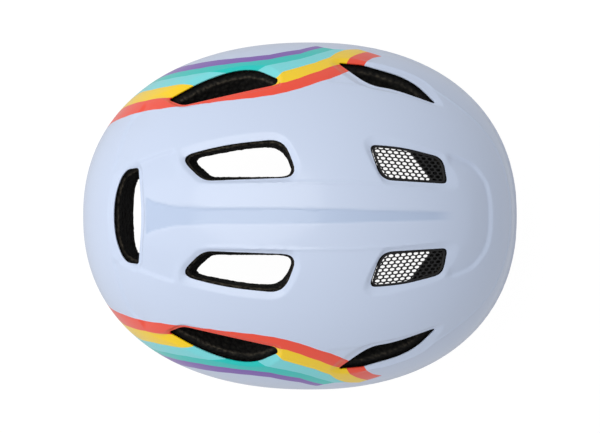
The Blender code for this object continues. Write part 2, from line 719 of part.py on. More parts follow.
def make_height_clip():
    """A loop that a height arm slides in, with a peg into the foam."""
    frame = clip_frame()
    clip = block("height_clip", (-9, -4.4, -3.5), (9, 5.4, 3.5), PLASTIC, frame)
    boolean(clip, block("clip_window", (-6.6, -3.0, -5), (6.6, 3.4, 5), matrix=frame, collection=CUTTERS))
    peg = rod("clip_peg", (0, 4.6, 0), (0, 15, 0), 3, matrix=frame, collection=CUTTERS, sides=20)
    boolean(clip, peg, "UNION")
    return rename_pair(clip, "height_clip")


# ---------------------------------------------------------------- webbing

def strap_frame(top, bottom):
    """Local Z up the strap, local X through it and local Y across it, with the origin at its top."""
    up = (top - bottom).normalized()
    through = (Vector((1, 0, 0)) - up * up.x).normalized()
    across = up.cross(through)
    return Matrix.Translation(top) @ Matrix((through, across, up)).transposed().to_4x4()


def upper_straps():
    """Frame, length and name of the two straps from the foam to the left splitter."""
    front_end = SPLITTER + Vector((0.2, -7.6, 10)) * MM
    rear_end = SPLITTER + Vector((0.2, 7.4, 10)) * MM
    for name, top, end in (("front", FRONT_STRAP_TOP, front_end), ("rear", REAR_STRAP_TOP, rear_end)):
        yield name, strap_frame(top, end), (top - end).length / MM


def make_upper_straps(liner):
    half, thick = WEB_WIDTH / MM / 2, WEB_THICKNESS / MM / 2
    for name, frame, length in upper_straps():
        strap = block("strap_" + name, (-thick, -half, -length), (thick, half, 0), WEBBING, frame)
        anchor = block("strap_anchor", (-2.2, -half - 1.5, 0.3), (2.2, half + 1.5, 5), PLASTIC, frame)
        bevel(anchor, 0.8, 1)
        slot = block("strap_slot_" + name, (-1.4, -half - 0.8, -40), (1.4, half + 0.8, 2), matrix=frame,
                     collection=CUTTERS)
        pocket = block("anchor_pocket_" + name, (-2.6, -half - 2, -0.3), (2.6, half + 2, 5.5), matrix=frame,
                       collection=CUTTERS)
        for tool in (slot, pocket, mirrored_cutter(slot), mirrored_cutter(pocket)):
            boolean(liner, tool)
        rename_pair(strap, "strap_" + name)
        rename_pair(anchor, "strap_anchor_" + name)


def lower_controls(side, end_x):
    """Middle line of the lower strap, from the splitter to the buckle, in mm."""
    x, y, z = SPLITTER / MM
    by, bz = BUCKLE_MOUTH.y / MM, BUCKLE_MOUTH.z / MM
    left = [(x, y - 0.5, z - 13.2), (x - 2, y - 3, z - 24), (x - 11.5, y - 8.5, z - 38),
            (x - 25, y - 13.8, z - 48.6), (38, by, bz + 0.3)]
    points = [(side * px, py, pz) for px, py, pz in left]
    if side < 0:
        points.append((-24, by, bz))
    return points + [(end_x, by, bz)]


def make_lower_straps():
    left_end = (BUCKLE_MOUTH.x + FEMALE_LENGTH) / MM + 0.8
    right_end = (BUCKLE_MOUTH.x - MALE_LENGTH) / MM - 0.35
    left = smooth_path(lower_controls(1, left_end))
    right = smooth_path(lower_controls(-1, right_end))
    band("strap_lower_left", left, WEB_WIDTH, DOUBLE_WEB, (0, 1, 0), WEBBING)
    band("strap_lower_right", right, WEB_WIDTH, DOUBLE_WEB, (0, 1, 0), WEBBING)
    tail_lift = -(DOUBLE_WEB + WEB_THICKNESS) / 2 - 0.35 * MM
    band("strap_tail", left[8:], WEB_WIDTH, WEB_THICKNESS, (0, 1, 0), WEBBING, lift=tail_lift)
    make_keeper(left, 13, tail_lift / 2)
    make_chin_pad(right)


def make_keeper(path, index, lift):
    """A rubber ring round the strap and its tail."""
    point, side, through = path_frames(path, Vector((0, 1, 0)))[index]
    along = side.cross(through)
    centre = point + through * lift
    frame = Matrix.Translation(centre) @ Matrix((side, through, along)).transposed().to_4x4()
    ring = plate("strap_keeper", [rounded_box(20, 9, 2), rounded_box(16.8, 5.8, 1)], 6, RUBBER, frame)
    return ring


def make_chin_pad(path):
    """A soft sleeve on the right strap, where it lies under the chin."""
    sleeve = [p for p in path if -60 * MM < p.x < -13 * MM]
    pad = band("chin_pad", sleeve, 23 * MM, 8 * MM, (0, 1, 0), PADDING)
    boolean(pad, band("chin_pad_slot", path, 16.2 * MM, 3.4 * MM, (0, 1, 0), collection=CUTTERS))
    return pad


def splitter_frame():
    """Local X points away from the head, local Y to the rear and local Z up."""
    return Matrix.Translation(SPLITTER)


def make_splitter():
    """The side divider where the front and rear straps meet, with a locking lever on its pin."""
    frame = splitter_frame()
    side_on = frame @ Matrix(((0, 0, 1), (1, 0, 0), (0, 1, 0))).to_4x4()
    corners = ((-14.6, 4, 2), (-9.5, -11, 3), (9.5, -11, 3), (13.6, 3.6, 2), (0, 15.3, 3))
    outline = rounded_outline(corners, 2)
    body = plate("splitter", [outline, rounded_box(16, 2.6, 1, 0, -6.8)], 4.4, PLASTIC, side_on)
    for side in (-1, 1):
        y0, y1 = sorted((side * 7.9, side * 9.9))
        ear = block("ear", (1.4, y0, -2.2), (6.6, y1, 2.4), matrix=frame, collection=CUTTERS)
        boolean(body, ear, "UNION")
    bore = rod("ear_bore", (4.5, -12, 0), (4.5, 12, 0), 1.3, matrix=frame, collection=CUTTERS, sides=16)
    boolean(body, bore)
    rename_pair(body, "splitter")
    pin_frame = frame @ Matrix.Translation(Vector((4.5, 0, 0)) * MM)
    rename_pair(rod("pin", (0, -10.2, 0), (0, 10.2, 0), 1.0, STEEL, pin_frame, sides=16), "splitter_pin")
    lever = rod("lever", (0, -7.5, 0), (0, 7.5, 0), 2.0, DIAL_GREY, pin_frame, sides=20)
    blade = block("lever_blade", (-1.6, -7.5, -10.5), (0.9, 7.5, 0), matrix=pin_frame, collection=CUTTERS)
    boolean(lever, blade, "UNION")
    boolean(lever, rod("lever_bore", (0, -9, 0), (0, 9, 0), 1.3, matrix=pin_frame, collection=CUTTERS,
                       sides=16))
    rename_pair(lever, "splitter_lever")


# ---------------------------------------------------------------- buckle

def make_buckle():
    """A side-release buckle under the chin. Local X runs from the mouth into the female half."""
    frame = Matrix.Translation(BUCKLE_MOUTH)
    long, short = FEMALE_LENGTH / MM, MALE_LENGTH / MM
    female = block("buckle_female", (0, -12.5, -4.5), (long, 12.5, 4.5), PLASTIC, frame)
    boolean(female, block("socket", (-1, -10.2, -2.9), (17, 10.2, 2.9), matrix=frame, collection=CUTTERS))
    boolean(female, block("windows", (4.6, -14, -2.9), (16, 14, 2.9), matrix=frame, collection=CUTTERS))
    boolean(female, block("web_slot", (19.2, -8.3, -6), (22.4, 8.3, 6), matrix=frame, collection=CUTTERS))
    bevel(female, 0.9, 2)
    male = block("buckle_male", (-short, -11.5, -4), (-0.4, 11.5, 4), PLASTIC, frame)
    tongue = block("tongue", (-2, -2.2, -1.8), (14, 2.2, 1.8), matrix=frame, collection=CUTTERS)
    boolean(male, tongue, "UNION")
    boolean(male, block("male_web_slot", (-11.4, -8.3, -6), (-8.2, 8.3, 6), matrix=frame,
                        collection=CUTTERS))
    bevel(male, 0.7, 1)
    arm = rounded_outline(((0, 6.2, 0.3), (12, 6.2, 2), (15.2, 7.6, 1.5), (15, 11.6, 2), (10.5, 13.0, 3),
                           (5.3, 12.7, 0.8), (5.2, 9.2, 0.8), (0, 9.2, 0.3)), 2)
    for name, side in (("buckle_arm_rear", 1), ("buckle_arm_front", -1)):
        root = frame @ Matrix.Translation(Vector((0, side * 7.7, 0)) * MM)
        plate(name, [[(x, side * (y - 7.7)) for x, y in arm]], 5.0, PLASTIC, root)


# ---------------------------------------------------------------- assembly

def cut_liner_fittings(liner):
    """Seats in the foam for the temple anchors and the height clips' pegs."""
    x, y, z = TEMPLE / MM
    seat = rod("temple_seat", (x - 12, y, z), (x + 4.8, y, z), 7.6, collection=CUTTERS)
    peg = rod("peg_seat", (0, 0, 0), (0, 15.5, 0), 3.4, matrix=clip_frame(), collection=CUTTERS, sides=20)
    for tool in (seat, peg, mirrored_cutter(seat), mirrored_cutter(peg)):
        boolean(liner, tool)


def hang_from_pivot(name, place, pieces):
    """Parents pieces to an empty on their joint's axis, and leaves them where they are."""
    pivot = bpy.data.objects.new(name, None)
    pivot.empty_display_size = 10 * MM
    HELMET.objects.link(pivot)
    pivot.location = place
    bpy.context.view_layer.update()
    for piece in pieces:
        child = bpy.data.objects[piece]
        child.parent = pivot
        child.matrix_parent_inverse = pivot.matrix_world.inverted()


def main():
    shell, liner = make_shell(), make_liner()
    for cutter in vent_cutters():
        boolean(shell, cutter)
        boolean(liner, cutter)
    make_rim_trim()
    make_bug_mesh()
    make_padding()
    make_temple_anchor()
    rack_middle = PITCH_RADIUS / MM + 2.85
    make_belt(1, DIAL.z / MM + rack_middle)
    make_belt(-1, DIAL.z / MM - rack_middle)
    make_dial()
    make_housing()
    make_cradle()
    make_cover_screws()
    make_height_clip()
    cut_liner_fittings(liner)
    make_upper_straps(liner)
    make_lower_straps()
    make_splitter()
    make_buckle()
    hang_from_pivot("temple_pivot", TEMPLE, ("cradle", "dial_housing", "cover_screw_left",
                                             "cover_screw_right", "belt_left", "belt_right"))
    hang_from_pivot("buckle_pivot", BUCKLE_MOUTH, ("buckle_male", "chin_pad", "strap_lower_right"))


main()
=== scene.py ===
"""Looks of a small child's cycling helmet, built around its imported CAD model.

Lengths are in millimetres and are scaled by MM where a mesh is made. The helmet faces -Y, +Z is up and +X is
the wearer's left. Every piece is built from the same dome and vent outlines as the CAD part.
"""

import json
import math
from contextlib import contextmanager

import bmesh
import bpy
import numpy as np
from mathutils import Matrix, Vector
from mathutils.noise import voronoi

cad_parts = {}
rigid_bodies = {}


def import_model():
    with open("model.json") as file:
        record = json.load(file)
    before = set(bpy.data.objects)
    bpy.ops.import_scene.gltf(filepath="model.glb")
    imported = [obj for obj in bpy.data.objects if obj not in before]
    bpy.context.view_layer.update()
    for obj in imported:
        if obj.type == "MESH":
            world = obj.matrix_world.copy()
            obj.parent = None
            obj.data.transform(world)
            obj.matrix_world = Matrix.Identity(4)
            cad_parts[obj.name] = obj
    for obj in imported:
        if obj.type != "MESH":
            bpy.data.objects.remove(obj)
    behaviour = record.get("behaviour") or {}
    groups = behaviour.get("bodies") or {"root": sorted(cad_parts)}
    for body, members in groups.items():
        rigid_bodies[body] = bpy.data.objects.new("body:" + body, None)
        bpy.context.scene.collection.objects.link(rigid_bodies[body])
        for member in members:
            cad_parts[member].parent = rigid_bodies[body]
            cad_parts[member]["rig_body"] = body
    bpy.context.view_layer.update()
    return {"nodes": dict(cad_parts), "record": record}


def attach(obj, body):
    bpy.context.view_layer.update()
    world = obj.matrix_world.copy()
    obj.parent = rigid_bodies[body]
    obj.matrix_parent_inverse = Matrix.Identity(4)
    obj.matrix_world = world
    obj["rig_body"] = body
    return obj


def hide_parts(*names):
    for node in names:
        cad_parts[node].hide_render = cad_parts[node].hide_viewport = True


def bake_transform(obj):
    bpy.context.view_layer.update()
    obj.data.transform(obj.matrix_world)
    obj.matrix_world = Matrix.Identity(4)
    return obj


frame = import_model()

MM = 0.001
SIDES = {1: "left", -1: "right"}

# The dome, as in the CAD part.
HALF_WIDTH, FRONT_REACH, REAR_REACH = 98.0, 116.8, 128.2
HALF_LENGTH = 120  # round number for the directions of the steep sides
WIDEST_Y, WIDEST_Z, CROWN_RISE = -5.7, 40.0, 102.0
TUCK, SQUARENESS, CROWN_ROUNDNESS = 0.05, 2.22, 0.82
RIM_HEIGHTS = ((0, 14), (58, 3), (95, 12), (135, 0), (180, 5))
SHELL_THICKNESS, LAYER_GAP, TRIM_HEIGHT, TRIM_THICKNESS = 0.8, 0.5, 7.0, 1.2
FOAM_SIDE, FOAM_ENDS, FOAM_CROWN = 23.0, 26.9, 25.0

# Plan outlines of the vents on the wearer's left: corners as (x, y, corner reach).
CENTRE_VENT = ((32.1, 66.2, 9), (38.7, 40.4, 13), (41.8, 8.9, 8.5), (20.7, 0.6, 9), (18.9, 52.4, 5))
MESH_VENT = ((38.7, -37.0, 4.5), (37.3, -55.6, 9), (31.6, -78.1, 5.5), (17.4, -80.5, 3.5), (19.4, -43.7, 6.5))
REAR_SLOT = ((26.4, 88.3, 1.2), (25.3, 96.8, 7), (10.2, 102.4, 12), (-10.2, 102.4, 12), (-25.3, 96.8, 7),
             (-26.4, 88.3, 1.2), (0, 86.0, 18))
SIDE_VENT = ((64.1, 73.0, 2.5), (76.9, 49.4, 14), (82.0, 26.4, 12.5), (74.8, 11.7, 1.7), (71.6, 13.1, 1.7),
             (60.4, 64.2, 3))
LEAF_VENT = ((84.8, -19.8, 4), (83.5, -34.5, 2), (75.8, -61.5, 13), (61.0, -75.8, 4), (69.5, -50.7, 9),
             (71.2, -37.8, 9.5))

# Moulded lines of the shell on the wearer's left, traced in plan. Each bezel falls from its border to its vent.
CENTRE_BEZEL = ((37.4, 64.3), (35.0, 65.5), (32.2, 65.7), (29.4, 65.3), (25.5, 62.8), (21.0, 58.5), (18.1, 55.0),
                (17.5, 48.7), (17.5, 41.7), (17.6, 27.9), (17.8, 14.1), (18.1, 5.1), (19.5, 2.3), (24.3, 0.3),
                (27.8, 0.1), (31.9, 1.3), (36.8, 3.7), (41, 6.5), (43.4, 9.3), (45.2, 14.1), (45.3, 19.7),
                (44.5, 28), (43, 38.4), (41, 48.9), (39.5, 55.9), (37.8, 63.6))
MESH_BEZEL = ((43.2, -37.9), (40.8, -34.7), (38.5, -34.5), (35.1, -35.5), (29.9, -37.8), (23.7, -41.8),
              (17.3, -45.7), (16.0, -55.5), (15.0, -67.1), (13.9, -77.0), (14.1, -83.5), (15.8, -85.9),
              (18.7, -86.5), (23.9, -84.8), (29.6, -81.3), (32.5, -79), (34.7, -76.1), (37.9, -67.3),
              (40.7, -55.7), (42.9, -47.1), (43.7, -38.5))
SLOT_HALF = ((1.5, 106.1), (8.2, 105.9), (13.3, 105.1), (18.4, 104.2), (22.2, 102.9), (25.8, 100.1), (28, 96.5),
             (29.7, 93), (30.8, 89.5), (27.9, 87.7), (23.7, 86.8), (16.5, 85.8), (7.7, 84.7))
SLOT_BEZEL = ((-1.5, 106.1), *SLOT_HALF, (0, 84.1), *((-x, y) for x, y in SLOT_HALF[:0:-1]))
SIDE_BEZEL = ((63.6, 85.5), (66.8, 79.9), (69.8, 71.4), (73.0, 64.0), (76.0, 58.5), (79.0, 51.1), (80.4, 44),
              (82.0, 36), (82.8, 28), (82.6, 17.0), (80.8, 14.3), (78.8, 11.5), (75.5, 10.1), (72.6, 10.5),
              (70.3, 13.3), (66.2, 33), (62.2, 50), (59.4, 63.4), (60.9, 69.1), (63.1, 72.9), (64.5, 76.4),
              (64.7, 80.7))
LEAF_BEZEL = ((59.8, -79.3), (67.2, -75.3), (73.3, -69.5), (78.6, -60), (81.8, -50.5), (84.3, -42), (86.3, -32),
              (87.0, -22), (85.0, -16.6), (81.0, -19.4), (74.0, -28.6), (70.3, -36.2), (68.8, -42.0),
              (67.3, -49.9), (65.6, -58.3), (62.7, -67.3), (60.4, -73.6))
BEZEL_DEPTHS = (1.8, 1.5, 2.2, 2.3, 1.9)  # in mm at the vent's edge, in the order above

# Folds: the side to the left of each line drops by a step as wide as wall, and comes back over reach.
NOSE_FOLD = ((-9.6, -105.6), (0, -106.1), (9.6, -105.6), (17.7, -103.7), (22, -101.2), (26.9, -97.2),
             (29.7, -93.7), (32.7, -86.7), (34.9, -79))
BROW_FOLD = ((86.3, -30), (85, -37.6), (84, -42.4), (82.4, -49.6), (79.4, -58.7), (75.2, -67.7), (70.3, -73.6),
             (66.1, -79.7), (61.9, -85.7), (57.2, -91.8), (51, -98.7), (43.1, -105.4), (35.5, -109.8),
             (27.3, -113.0), (17.9, -115.5), (9.7, -116.8), (0, -117.2), (-9.7, -116.8))
PANEL_FOLD = ((37.0, 67.8), (35.1, 74.9), (32.4, 82.8), (29.3, 90.0), (26.9, 94.4), (24.8, 98.8))
REAR_FOLD = ((63.6, 85.5), (58, 89), (54.3, 93.2), (46.9, 97.2), (42.2, 98.8), (38.4, 100), (34.1, 101.2),
             (29.4, 102.4), (25.2, 103.5), (22.6, 104))
TEMPLE_FOLD = ((72.4, -14), (72.2, -22.3), (71.6, -28.2), (70.8, -36.0), (69.6, -41.4))
FOLDS = ((NOSE_FOLD, 1.5, 1.4, 15, (0, 6)), (BROW_FOLD, 1.5, 1.3, 18, (14, 0)),
         (PANEL_FOLD, 1.2, 1.8, 18, (3, 4)), (REAR_FOLD, 0.9, 1.1, 14, (4, 5)),
         (TEMPLE_FOLD, 0.5, 1.2, 10, (6, 6)))  # line, depth, wall, reach, tapers at its two ends
SPINE_RIB = ((18.1, 55), (17.5, 48.7), (17.5, 41.7), (17.6, 27.9), (17.8, 14.1), (18.1, 2), (18.0, -10.7),
             (17.9, -26.9), (17.3, -38.3), (16.7, -46.9), (16.0, -55.5), (15.0, -67.1), (13.9, -77.0))
GROOVE_HALVES = ((-86, 2.2), (-70, 2.4), (-55, 2.7), (-41, 3.1), (-27, 3.6), (52, 4.4), (60, 4.7), (69, 5.4),
                 (75, 6.8), (80, 8), (84, 10.2))  # half width of the central groove at each y

# Nets, webbing and belts, as in the CAD part. NET_FRAME has the inset and depth of each ring of a net's frame.
NET_FRAME = ((0, 0.4), (0, -0.4), (0.35, -0.55), (0.7, -0.4), (0.7, 0.4), (0.35, 0.55))
NET_CENTRE, NET_INSET, NET_DEPTHS = (28, -60), (0.04, 0.06), (3.0, 4.0)
NET_PITCH, NET_ROW, NET_HOLE, NET_TURN, NET_MARGIN, NET_THICKNESS = 3.4, 1.85, (1.36, 0.87), 5.0, 2.4, 0.7
WEB_WIDTH, WEB_THICKNESS, WEB_STEP = 15.0, 1.2, 0.8
STITCH_STEP, STITCH_PITCH, STITCH_LENGTH = 0.4, 2.4, 2.4 * 0.78
THREAD_HALVES, STITCH_RISE, STITCH_SINK = (0.24, 0.2), 0.22, 0.06
SPLITTER = (72.5, -3, -53)
LAYER_LIFT, TAIL_LIFT = 0.62, -2.0
FACE_LIFT, DOUBLE_FACE_LIFT = 0.62, 1.26  # of the stitches, on one layer and on two
SEAM_ROWS, LOWER_SEAM_ROWS = (-5, 5), (-5.4, 5.4)
FRONT_STRAP_TOP, REAR_STRAP_TOP = (79.8, -58.5, 22), (75.6, 61.5, 20)
LOWER_STRAP = ((72.5, -3.5, -66.2), (70.5, -6, -77), (61, -11.5, -91), (47.5, -16.8, -101.6), (38, -20, -105.7))
BELT_LINE = ((68, -47, 25), (68.5, -42, 24), (69.8, -18, 20), (69.5, 12, 13), (63.5, 40, 5), (48, 65, 4),
             (37, 73.6, 0.6), (24.6, 75.5, 0))  # the heights of the last three count from the rack's
RACK_HEIGHTS = (-4.15, -19.85)
STRAP_PULL = ((-0.070, -0.02, -0.106), (-0.0105, -0.02, -0.106))  # in m; passed along with the strap and its pad, which are not moved with the buckle

# Colour bands, as (degrees from the front, height) along the upper edge of each, from the rear forwards.
RED_TOP = ((172, 0), (163, 22), (155.6, 53.9), (154.2, 64), (152.1, 75.5), (148.8, 87), (144.6, 98.4),
           (138.8, 107.6), (131.9, 112.9), (123.7, 116.3), (115.8, 118.2), (107.1, 118.7), (100.9, 118.1),
           (94.7, 116.7), (90.2, 115), (81.8, 110.6), (78.2, 107.3), (75, 103), (60, 96))
YELLOW_TOP = ((168, 0), (159, 22), (149.8, 56.4), (148.4, 66.4), (145.2, 80.9), (142.1, 89.5), (140.1, 95),
              (136, 101), (127, 108.5), (117, 110), (109, 111.4), (106.5, 114), (104, 112.9), (100.1, 112.6),
              (94.3, 110.4), (86.2, 105.3), (80.4, 99.1), (78, 97), (60, 90))
CYAN_TOP = ((163, 0), (154, 24), (144.1, 58.3), (141.5, 73), (138, 83), (134.4, 89.7), (132.1, 95.6),
            (131.5, 98.8), (118, 106), (104, 109.1), (103.1, 108.3), (100.9, 105.2), (97.7, 103.8), (94, 101.9),
            (88.3, 98), (82.9, 91), (81, 83.8), (78.2, 76.3), (74, 69.5), (60, 60))
TEAL_TOP = ((158, 0), (149, 26), (139.5, 59), (136.2, 72.5), (131.7, 82.5), (127.3, 87.8), (125.1, 90),
            (122.2, 94.3), (120.7, 96.3), (120.1, 98.5), (115, 101.5), (110.1, 101.8), (109.2, 100.7),
            (106.7, 98.2), (103.7, 97.5), (98.8, 96.2), (93.8, 93.6), (90.1, 90.2), (84.9, 83), (82.2, 77.6),
            (78, 70), (60, 50))
PURPLE_TOP = ((153, 0), (144, 30), (134.7, 63.7), (130.9, 73.5), (126.8, 80.5), (119.4, 87), (111.3, 90.8),
              (104.5, 91.6), (93.6, 86.6), (85.7, 74.3), (80, 62), (60, 40))
BANDS_BOTTOM = ((146, 0), (137, 34), (127.7, 66), (123, 73.5), (117.1, 80.3), (110.8, 84), (104.1, 85),
                (93.5, 79), (87.9, 70), (85.7, 73.6), (82.2, 76.6), (78.2, 75.8), (73.7, 70), (71.1, 72.5),
                (65.7, 75.2), (60, 78))
BANDS_FRONT = ((65.7, 74.8), (68.4, 82.7), (69.9, 89.7), (70.4, 96), (73, 100), (84, 122), (180, 160))
RED_FRONT = ((76.8, 97), (75.9, 89), (73.9, 82.2), (71.1, 73.7), (69, 68), (60, 66), (60, 100))

LILAC = (0.565, 0.648, 0.815)
# The next colour is the lilac darkened as painted shade, for the groove along the crown.
GROOVE_PAINTED_SHADE = (0.456, 0.553, 0.737)
RED = (0.84, 0.070, 0.034)
YELLOW = (0.92, 0.62, 0.002)
CYAN = (0.18, 0.68, 0.71)
TEAL = (0.004, 0.55, 0.50)
PURPLE = (0.19, 0.078, 0.42)

# Fine detail of the shell and the foam, and the cells that they are built from.
SHELL_CELLS = 140  # cells across
NEAR_LINES, NEAR_COLOURS, NEAR_WALL = (3.0, 1.2), 1.8, 1.2  # cells this near to a line or to a fold's wall split
RIB_HEIGHT, RIB_REACH = 0.5, 0.9
RIDGE_HEIGHT, RIDGE_REACH = 0.6, 0.8  # the bright ridge along the brow fold
GROOVE_DEPTH, GROOVE_WALL, GROOVE_ENDS = 0.5, 0.6, ((-86, -72), (83.4, 84.4))
SHELL_ROUNDING = 0.18
WRAP_SCALE = np.array([1.8, 1.0])  # mm round the side to a degree, and mm up
FOAM_VOXEL, FOAM_SETBACK, FOAM_LEDGE = 1.2, 0.6, 0.55
SETBACK_FADE, LEDGE_FADE, FOLLOW_FADE, PALE_FADE = (0.6, 1.8), (1.5, 5), (3, 14), (0.9, 2.4)  # depths in the foam
OUTER_SKIN, NEAR_SURFACE = 0.8, 1.5
BEAD_SIZE, BEAD_HEIGHT = 1.9, 0.28
FOAM_SHIFTS = ((0, 0), (1.3, 0), (-1.3, 0), (0, 1.3), (0, -1.3))  # the foam stays below the lowest shell near it

# Padding: how far it stands off the wall, its share of thickness before it is puffed, and how far its back and
# front may move.
PAD_CLEARANCE, PAD_START, PAD_CAPS = 1.9, 0.82, (0.1, 1.3)
PAD_STEP, PAD_PUFF, PAD_PRESSURE = 2.0, 0.6, 4.0
DRAW_IN, EDGE_ROUND = 0.16, 5  # how far the edges of a patch draw in between its corners, and how wide they are round
HOOK_CLEARANCE, HOOK_THICKNESS, HOOK_STEP, HOOK_PUFF, HOOK_PITCH = 0.8, 0.6, 0.8, 0.2, 0.9
SEAM_DEPTH, SEAM_INSET, CHANNEL_DEPTH = 1.1, 2.6, 1.9
CLOTH_FRAMES, CLOTH_QUALITY = 20, 4
CHIN_SPAN, CHIN_PRESSURE = (-60, -13), 3.0
CHIN_STEP, CHIN_HALF, CHIN_HOLE, CHIN_CAP = 1.6, (11.1, 3.6), (8.3, 1.75), 0.7


# ---------------------------------------------------------------- numbers, curves and the dome

def smoothstep(low, high, value):
    t = np.clip((value - low) / (high - low), 0.0, 1.0)
    return t * t * (3 - 2 * t)


def unit(vectors, least=1e-9):
    return vectors / np.maximum(np.linalg.norm(vectors, axis=1), least)[:, None]


class Dome:
    """The CAD part's dome, worked out for arrays of plan points."""

    def __init__(self, inset_side=0.0, inset_ends=0.0, inset_crown=0.0, tuck=TUCK):
        self.half_width = HALF_WIDTH - inset_side
        self.front = FRONT_REACH - inset_ends
        self.rear = REAR_REACH - inset_ends
        self.rise = CROWN_RISE - inset_crown
        self.tuck = tuck

    def norms(self, x, y):
        across = np.abs(x) / self.half_width
        along = np.abs(y - WIDEST_Y) / np.where(y < WIDEST_Y, self.front, self.rear)
        square = (across ** SQUARENESS + along ** SQUARENESS) ** (1 / SQUARENESS)
        return np.hypot(across, along), square

    def share(self, x, y):
        ellipse, square = self.norms(x, y)
        return ellipse + (square - ellipse) * ellipse ** 2

    def height(self, x, y):
        share = np.minimum(self.share(x, y), 1.0)
        fill = CROWN_ROUNDNESS * share ** 2 + (1 - CROWN_ROUNDNESS) * share ** 6
        return WIDEST_Z + self.rise * np.sqrt(np.maximum(0.0, 1 - fill))

    def plan(self, turn, share):
        """Plan points at angles from the front on the outlines of those shares."""
        x, y = np.sin(turn), -np.cos(turn)
        ellipse, square = self.norms(x, WIDEST_Y + y)
        reach = share / ellipse
        for _ in range(30):
            reach = share / (ellipse + (square - ellipse) * (reach * ellipse) ** 2)
        return x * reach, WIDEST_Y + y * reach

    def surface(self, turn, way, edge):
        """Points at angle turn, with way from 0 at the crown to 1 at the widest level and 2 at height edge."""
        angle = np.minimum(way, 1.0) * math.pi / 2
        drop = np.maximum(way - 1.0, 0.0)
        z_low = WIDEST_Z + (edge - WIDEST_Z) * drop
        share = np.sin(angle) * (1 - self.tuck * ((WIDEST_Z - z_low) / WIDEST_Z) ** 2)
        x, y = self.plan(turn, np.maximum(share, 1e-9))
        return np.stack([x, y, np.where(way <= 1.0, self.height(x, y), z_low)], axis=-1)

    def level(self, points):
        """Below zero inside the dome and above zero outside."""
        x, y, z = points.T
        drop = np.maximum(WIDEST_Z - z, 0) / WIDEST_Z
        share = self.share(x, y) / (1 - self.tuck * drop ** 2)
        fill = CROWN_ROUNDNESS * share ** 2 + (1 - CROWN_ROUNDNESS) * share ** 6
        return (np.maximum(z - WIDEST_Z, 0) / self.rise) ** 2 + fill - 1

    def offset(self, points):
        """The shortest move from each point onto the dome, nearly."""
        step = 0.02
        value = self.level(points)
        slope = np.stack([(self.level(points + axis) - value) / step for axis in np.eye(3) * step], -1)
        return -slope * (value / np.maximum((slope ** 2).sum(1), 1e-12))[:, None]


OUTER = Dome()
SHELL_INSET = SHELL_THICKNESS + LAYER_GAP
FOAM_OUTER = Dome(SHELL_INSET, SHELL_INSET, SHELL_INSET)
CAVITY = Dome(FOAM_SIDE, FOAM_ENDS, FOAM_CROWN, 0.0)


def rim_height(turn):
    degrees = np.abs((np.degrees(turn) + 180) % 360 - 180)
    height = np.full_like(degrees, float(RIM_HEIGHTS[-1][1]))
    for (start, low), (end, high) in zip(RIM_HEIGHTS, RIM_HEIGHTS[1:]):
        inside = (degrees >= start) & (degrees <= end)
        height = np.where(inside, low + (high - low) * smoothstep(start, end, degrees), height)
    return height


def turn_of(x, y):
    return np.arctan2(x, -(y - WIDEST_Y))


def rounded_outline(corners, steps=6):
    """Points round a polygon. Each corner (x, y, reach) is rounded by a curve that starts reach from it."""
    points = []
    for k, (x, y, reach) in enumerate(corners):
        corner = Vector((x, y))
        before = Vector(corners[k - 1][:2]) - corner
        after = Vector(corners[(k + 1) % len(corners)][:2]) - corner
        start = corner + before.normalized() * min(reach, before.length * 0.49)
        end = corner + after.normalized() * min(reach, after.length * 0.49)
        for step in range(steps + 1):
            t = step / steps
            points.append(tuple(start * (1 - t) ** 2 + corner * 2 * t * (1 - t) + end * t ** 2))
    return np.array(points)


def signed_distance(points, outline):
    """Distance from each plan point to a closed outline, negative inside."""
    best = np.full(len(points), 1e9)
    inside = np.zeros(len(points), bool)
    for a, b in zip(outline, np.roll(outline, -1, axis=0)):
        edge = b - a
        length = max(edge @ edge, 1e-12)
        t = np.clip((points - a) @ edge / length, 0, 1)
        best = np.minimum(best, np.hypot(*(points - a - t[:, None] * edge).T))
        crosses = (a[1] > points[:, 1]) != (b[1] > points[:, 1])
        if abs(edge[1]) > 1e-12:
            inside ^= crosses & (points[:, 0] < a[0] + edge[0] * (points[:, 1] - a[1]) / edge[1])
    return np.where(inside, -best, best)


def distance_to_line(points, line):
    """Distance to an open line, the side of it that each point lies on, and how far along it the point is."""
    best, side, along = np.full(len(points), 1e9), np.zeros(len(points)), np.zeros(len(points))
    line, start = np.array(line, float), 0.0
    for a, b in zip(line, line[1:]):
        edge = b - a
        t = np.clip((points - a) @ edge / (edge @ edge), 0, 1)
        gap = points - a - t[:, None] * edge
        distance = np.hypot(*gap.T)
        turn = edge[0] * (points[:, 1] - a[1]) - edge[1] * (points[:, 0] - a[0])
        nearer = distance < best
        side = np.where(nearer, np.sign(turn), side)
        along = np.where(nearer, start + t * np.hypot(*edge), along)
        best = np.where(nearer, distance, best)
        start += np.hypot(*edge)
    return best, side, along, start


def smooth_line(controls, steps=6):
    """Points on a Catmull-Rom curve through control points of any dimension."""
    controls = np.array(controls, float)
    ends = np.vstack([2 * controls[0] - controls[1], controls, 2 * controls[-1] - controls[-2]])
    line = []
    for a, b, c, d in zip(ends, ends[1:], ends[2:], ends[3:]):
        for t in np.arange(steps) / steps:
            line.append((2 * b + (c - a) * t + (2 * a - 5 * b + 4 * c - d) * t ** 2
                         + (3 * b - a - 3 * c + d) * t ** 3) / 2)
    return np.array(line + [controls[-1]])


def closed_curve(controls, steps=3):
    """Points on a closed Catmull-Rom curve."""
    controls = list(controls)
    line = smooth_line(controls[-2:] + controls + controls[:2], steps)
    return line[2 * steps:-steps - 1]


# ---------------------------------------------------------------- meshes

def linked(name, data):
    made = bpy.data.objects.new(name, data)
    bpy.context.scene.collection.objects.link(made)
    return made


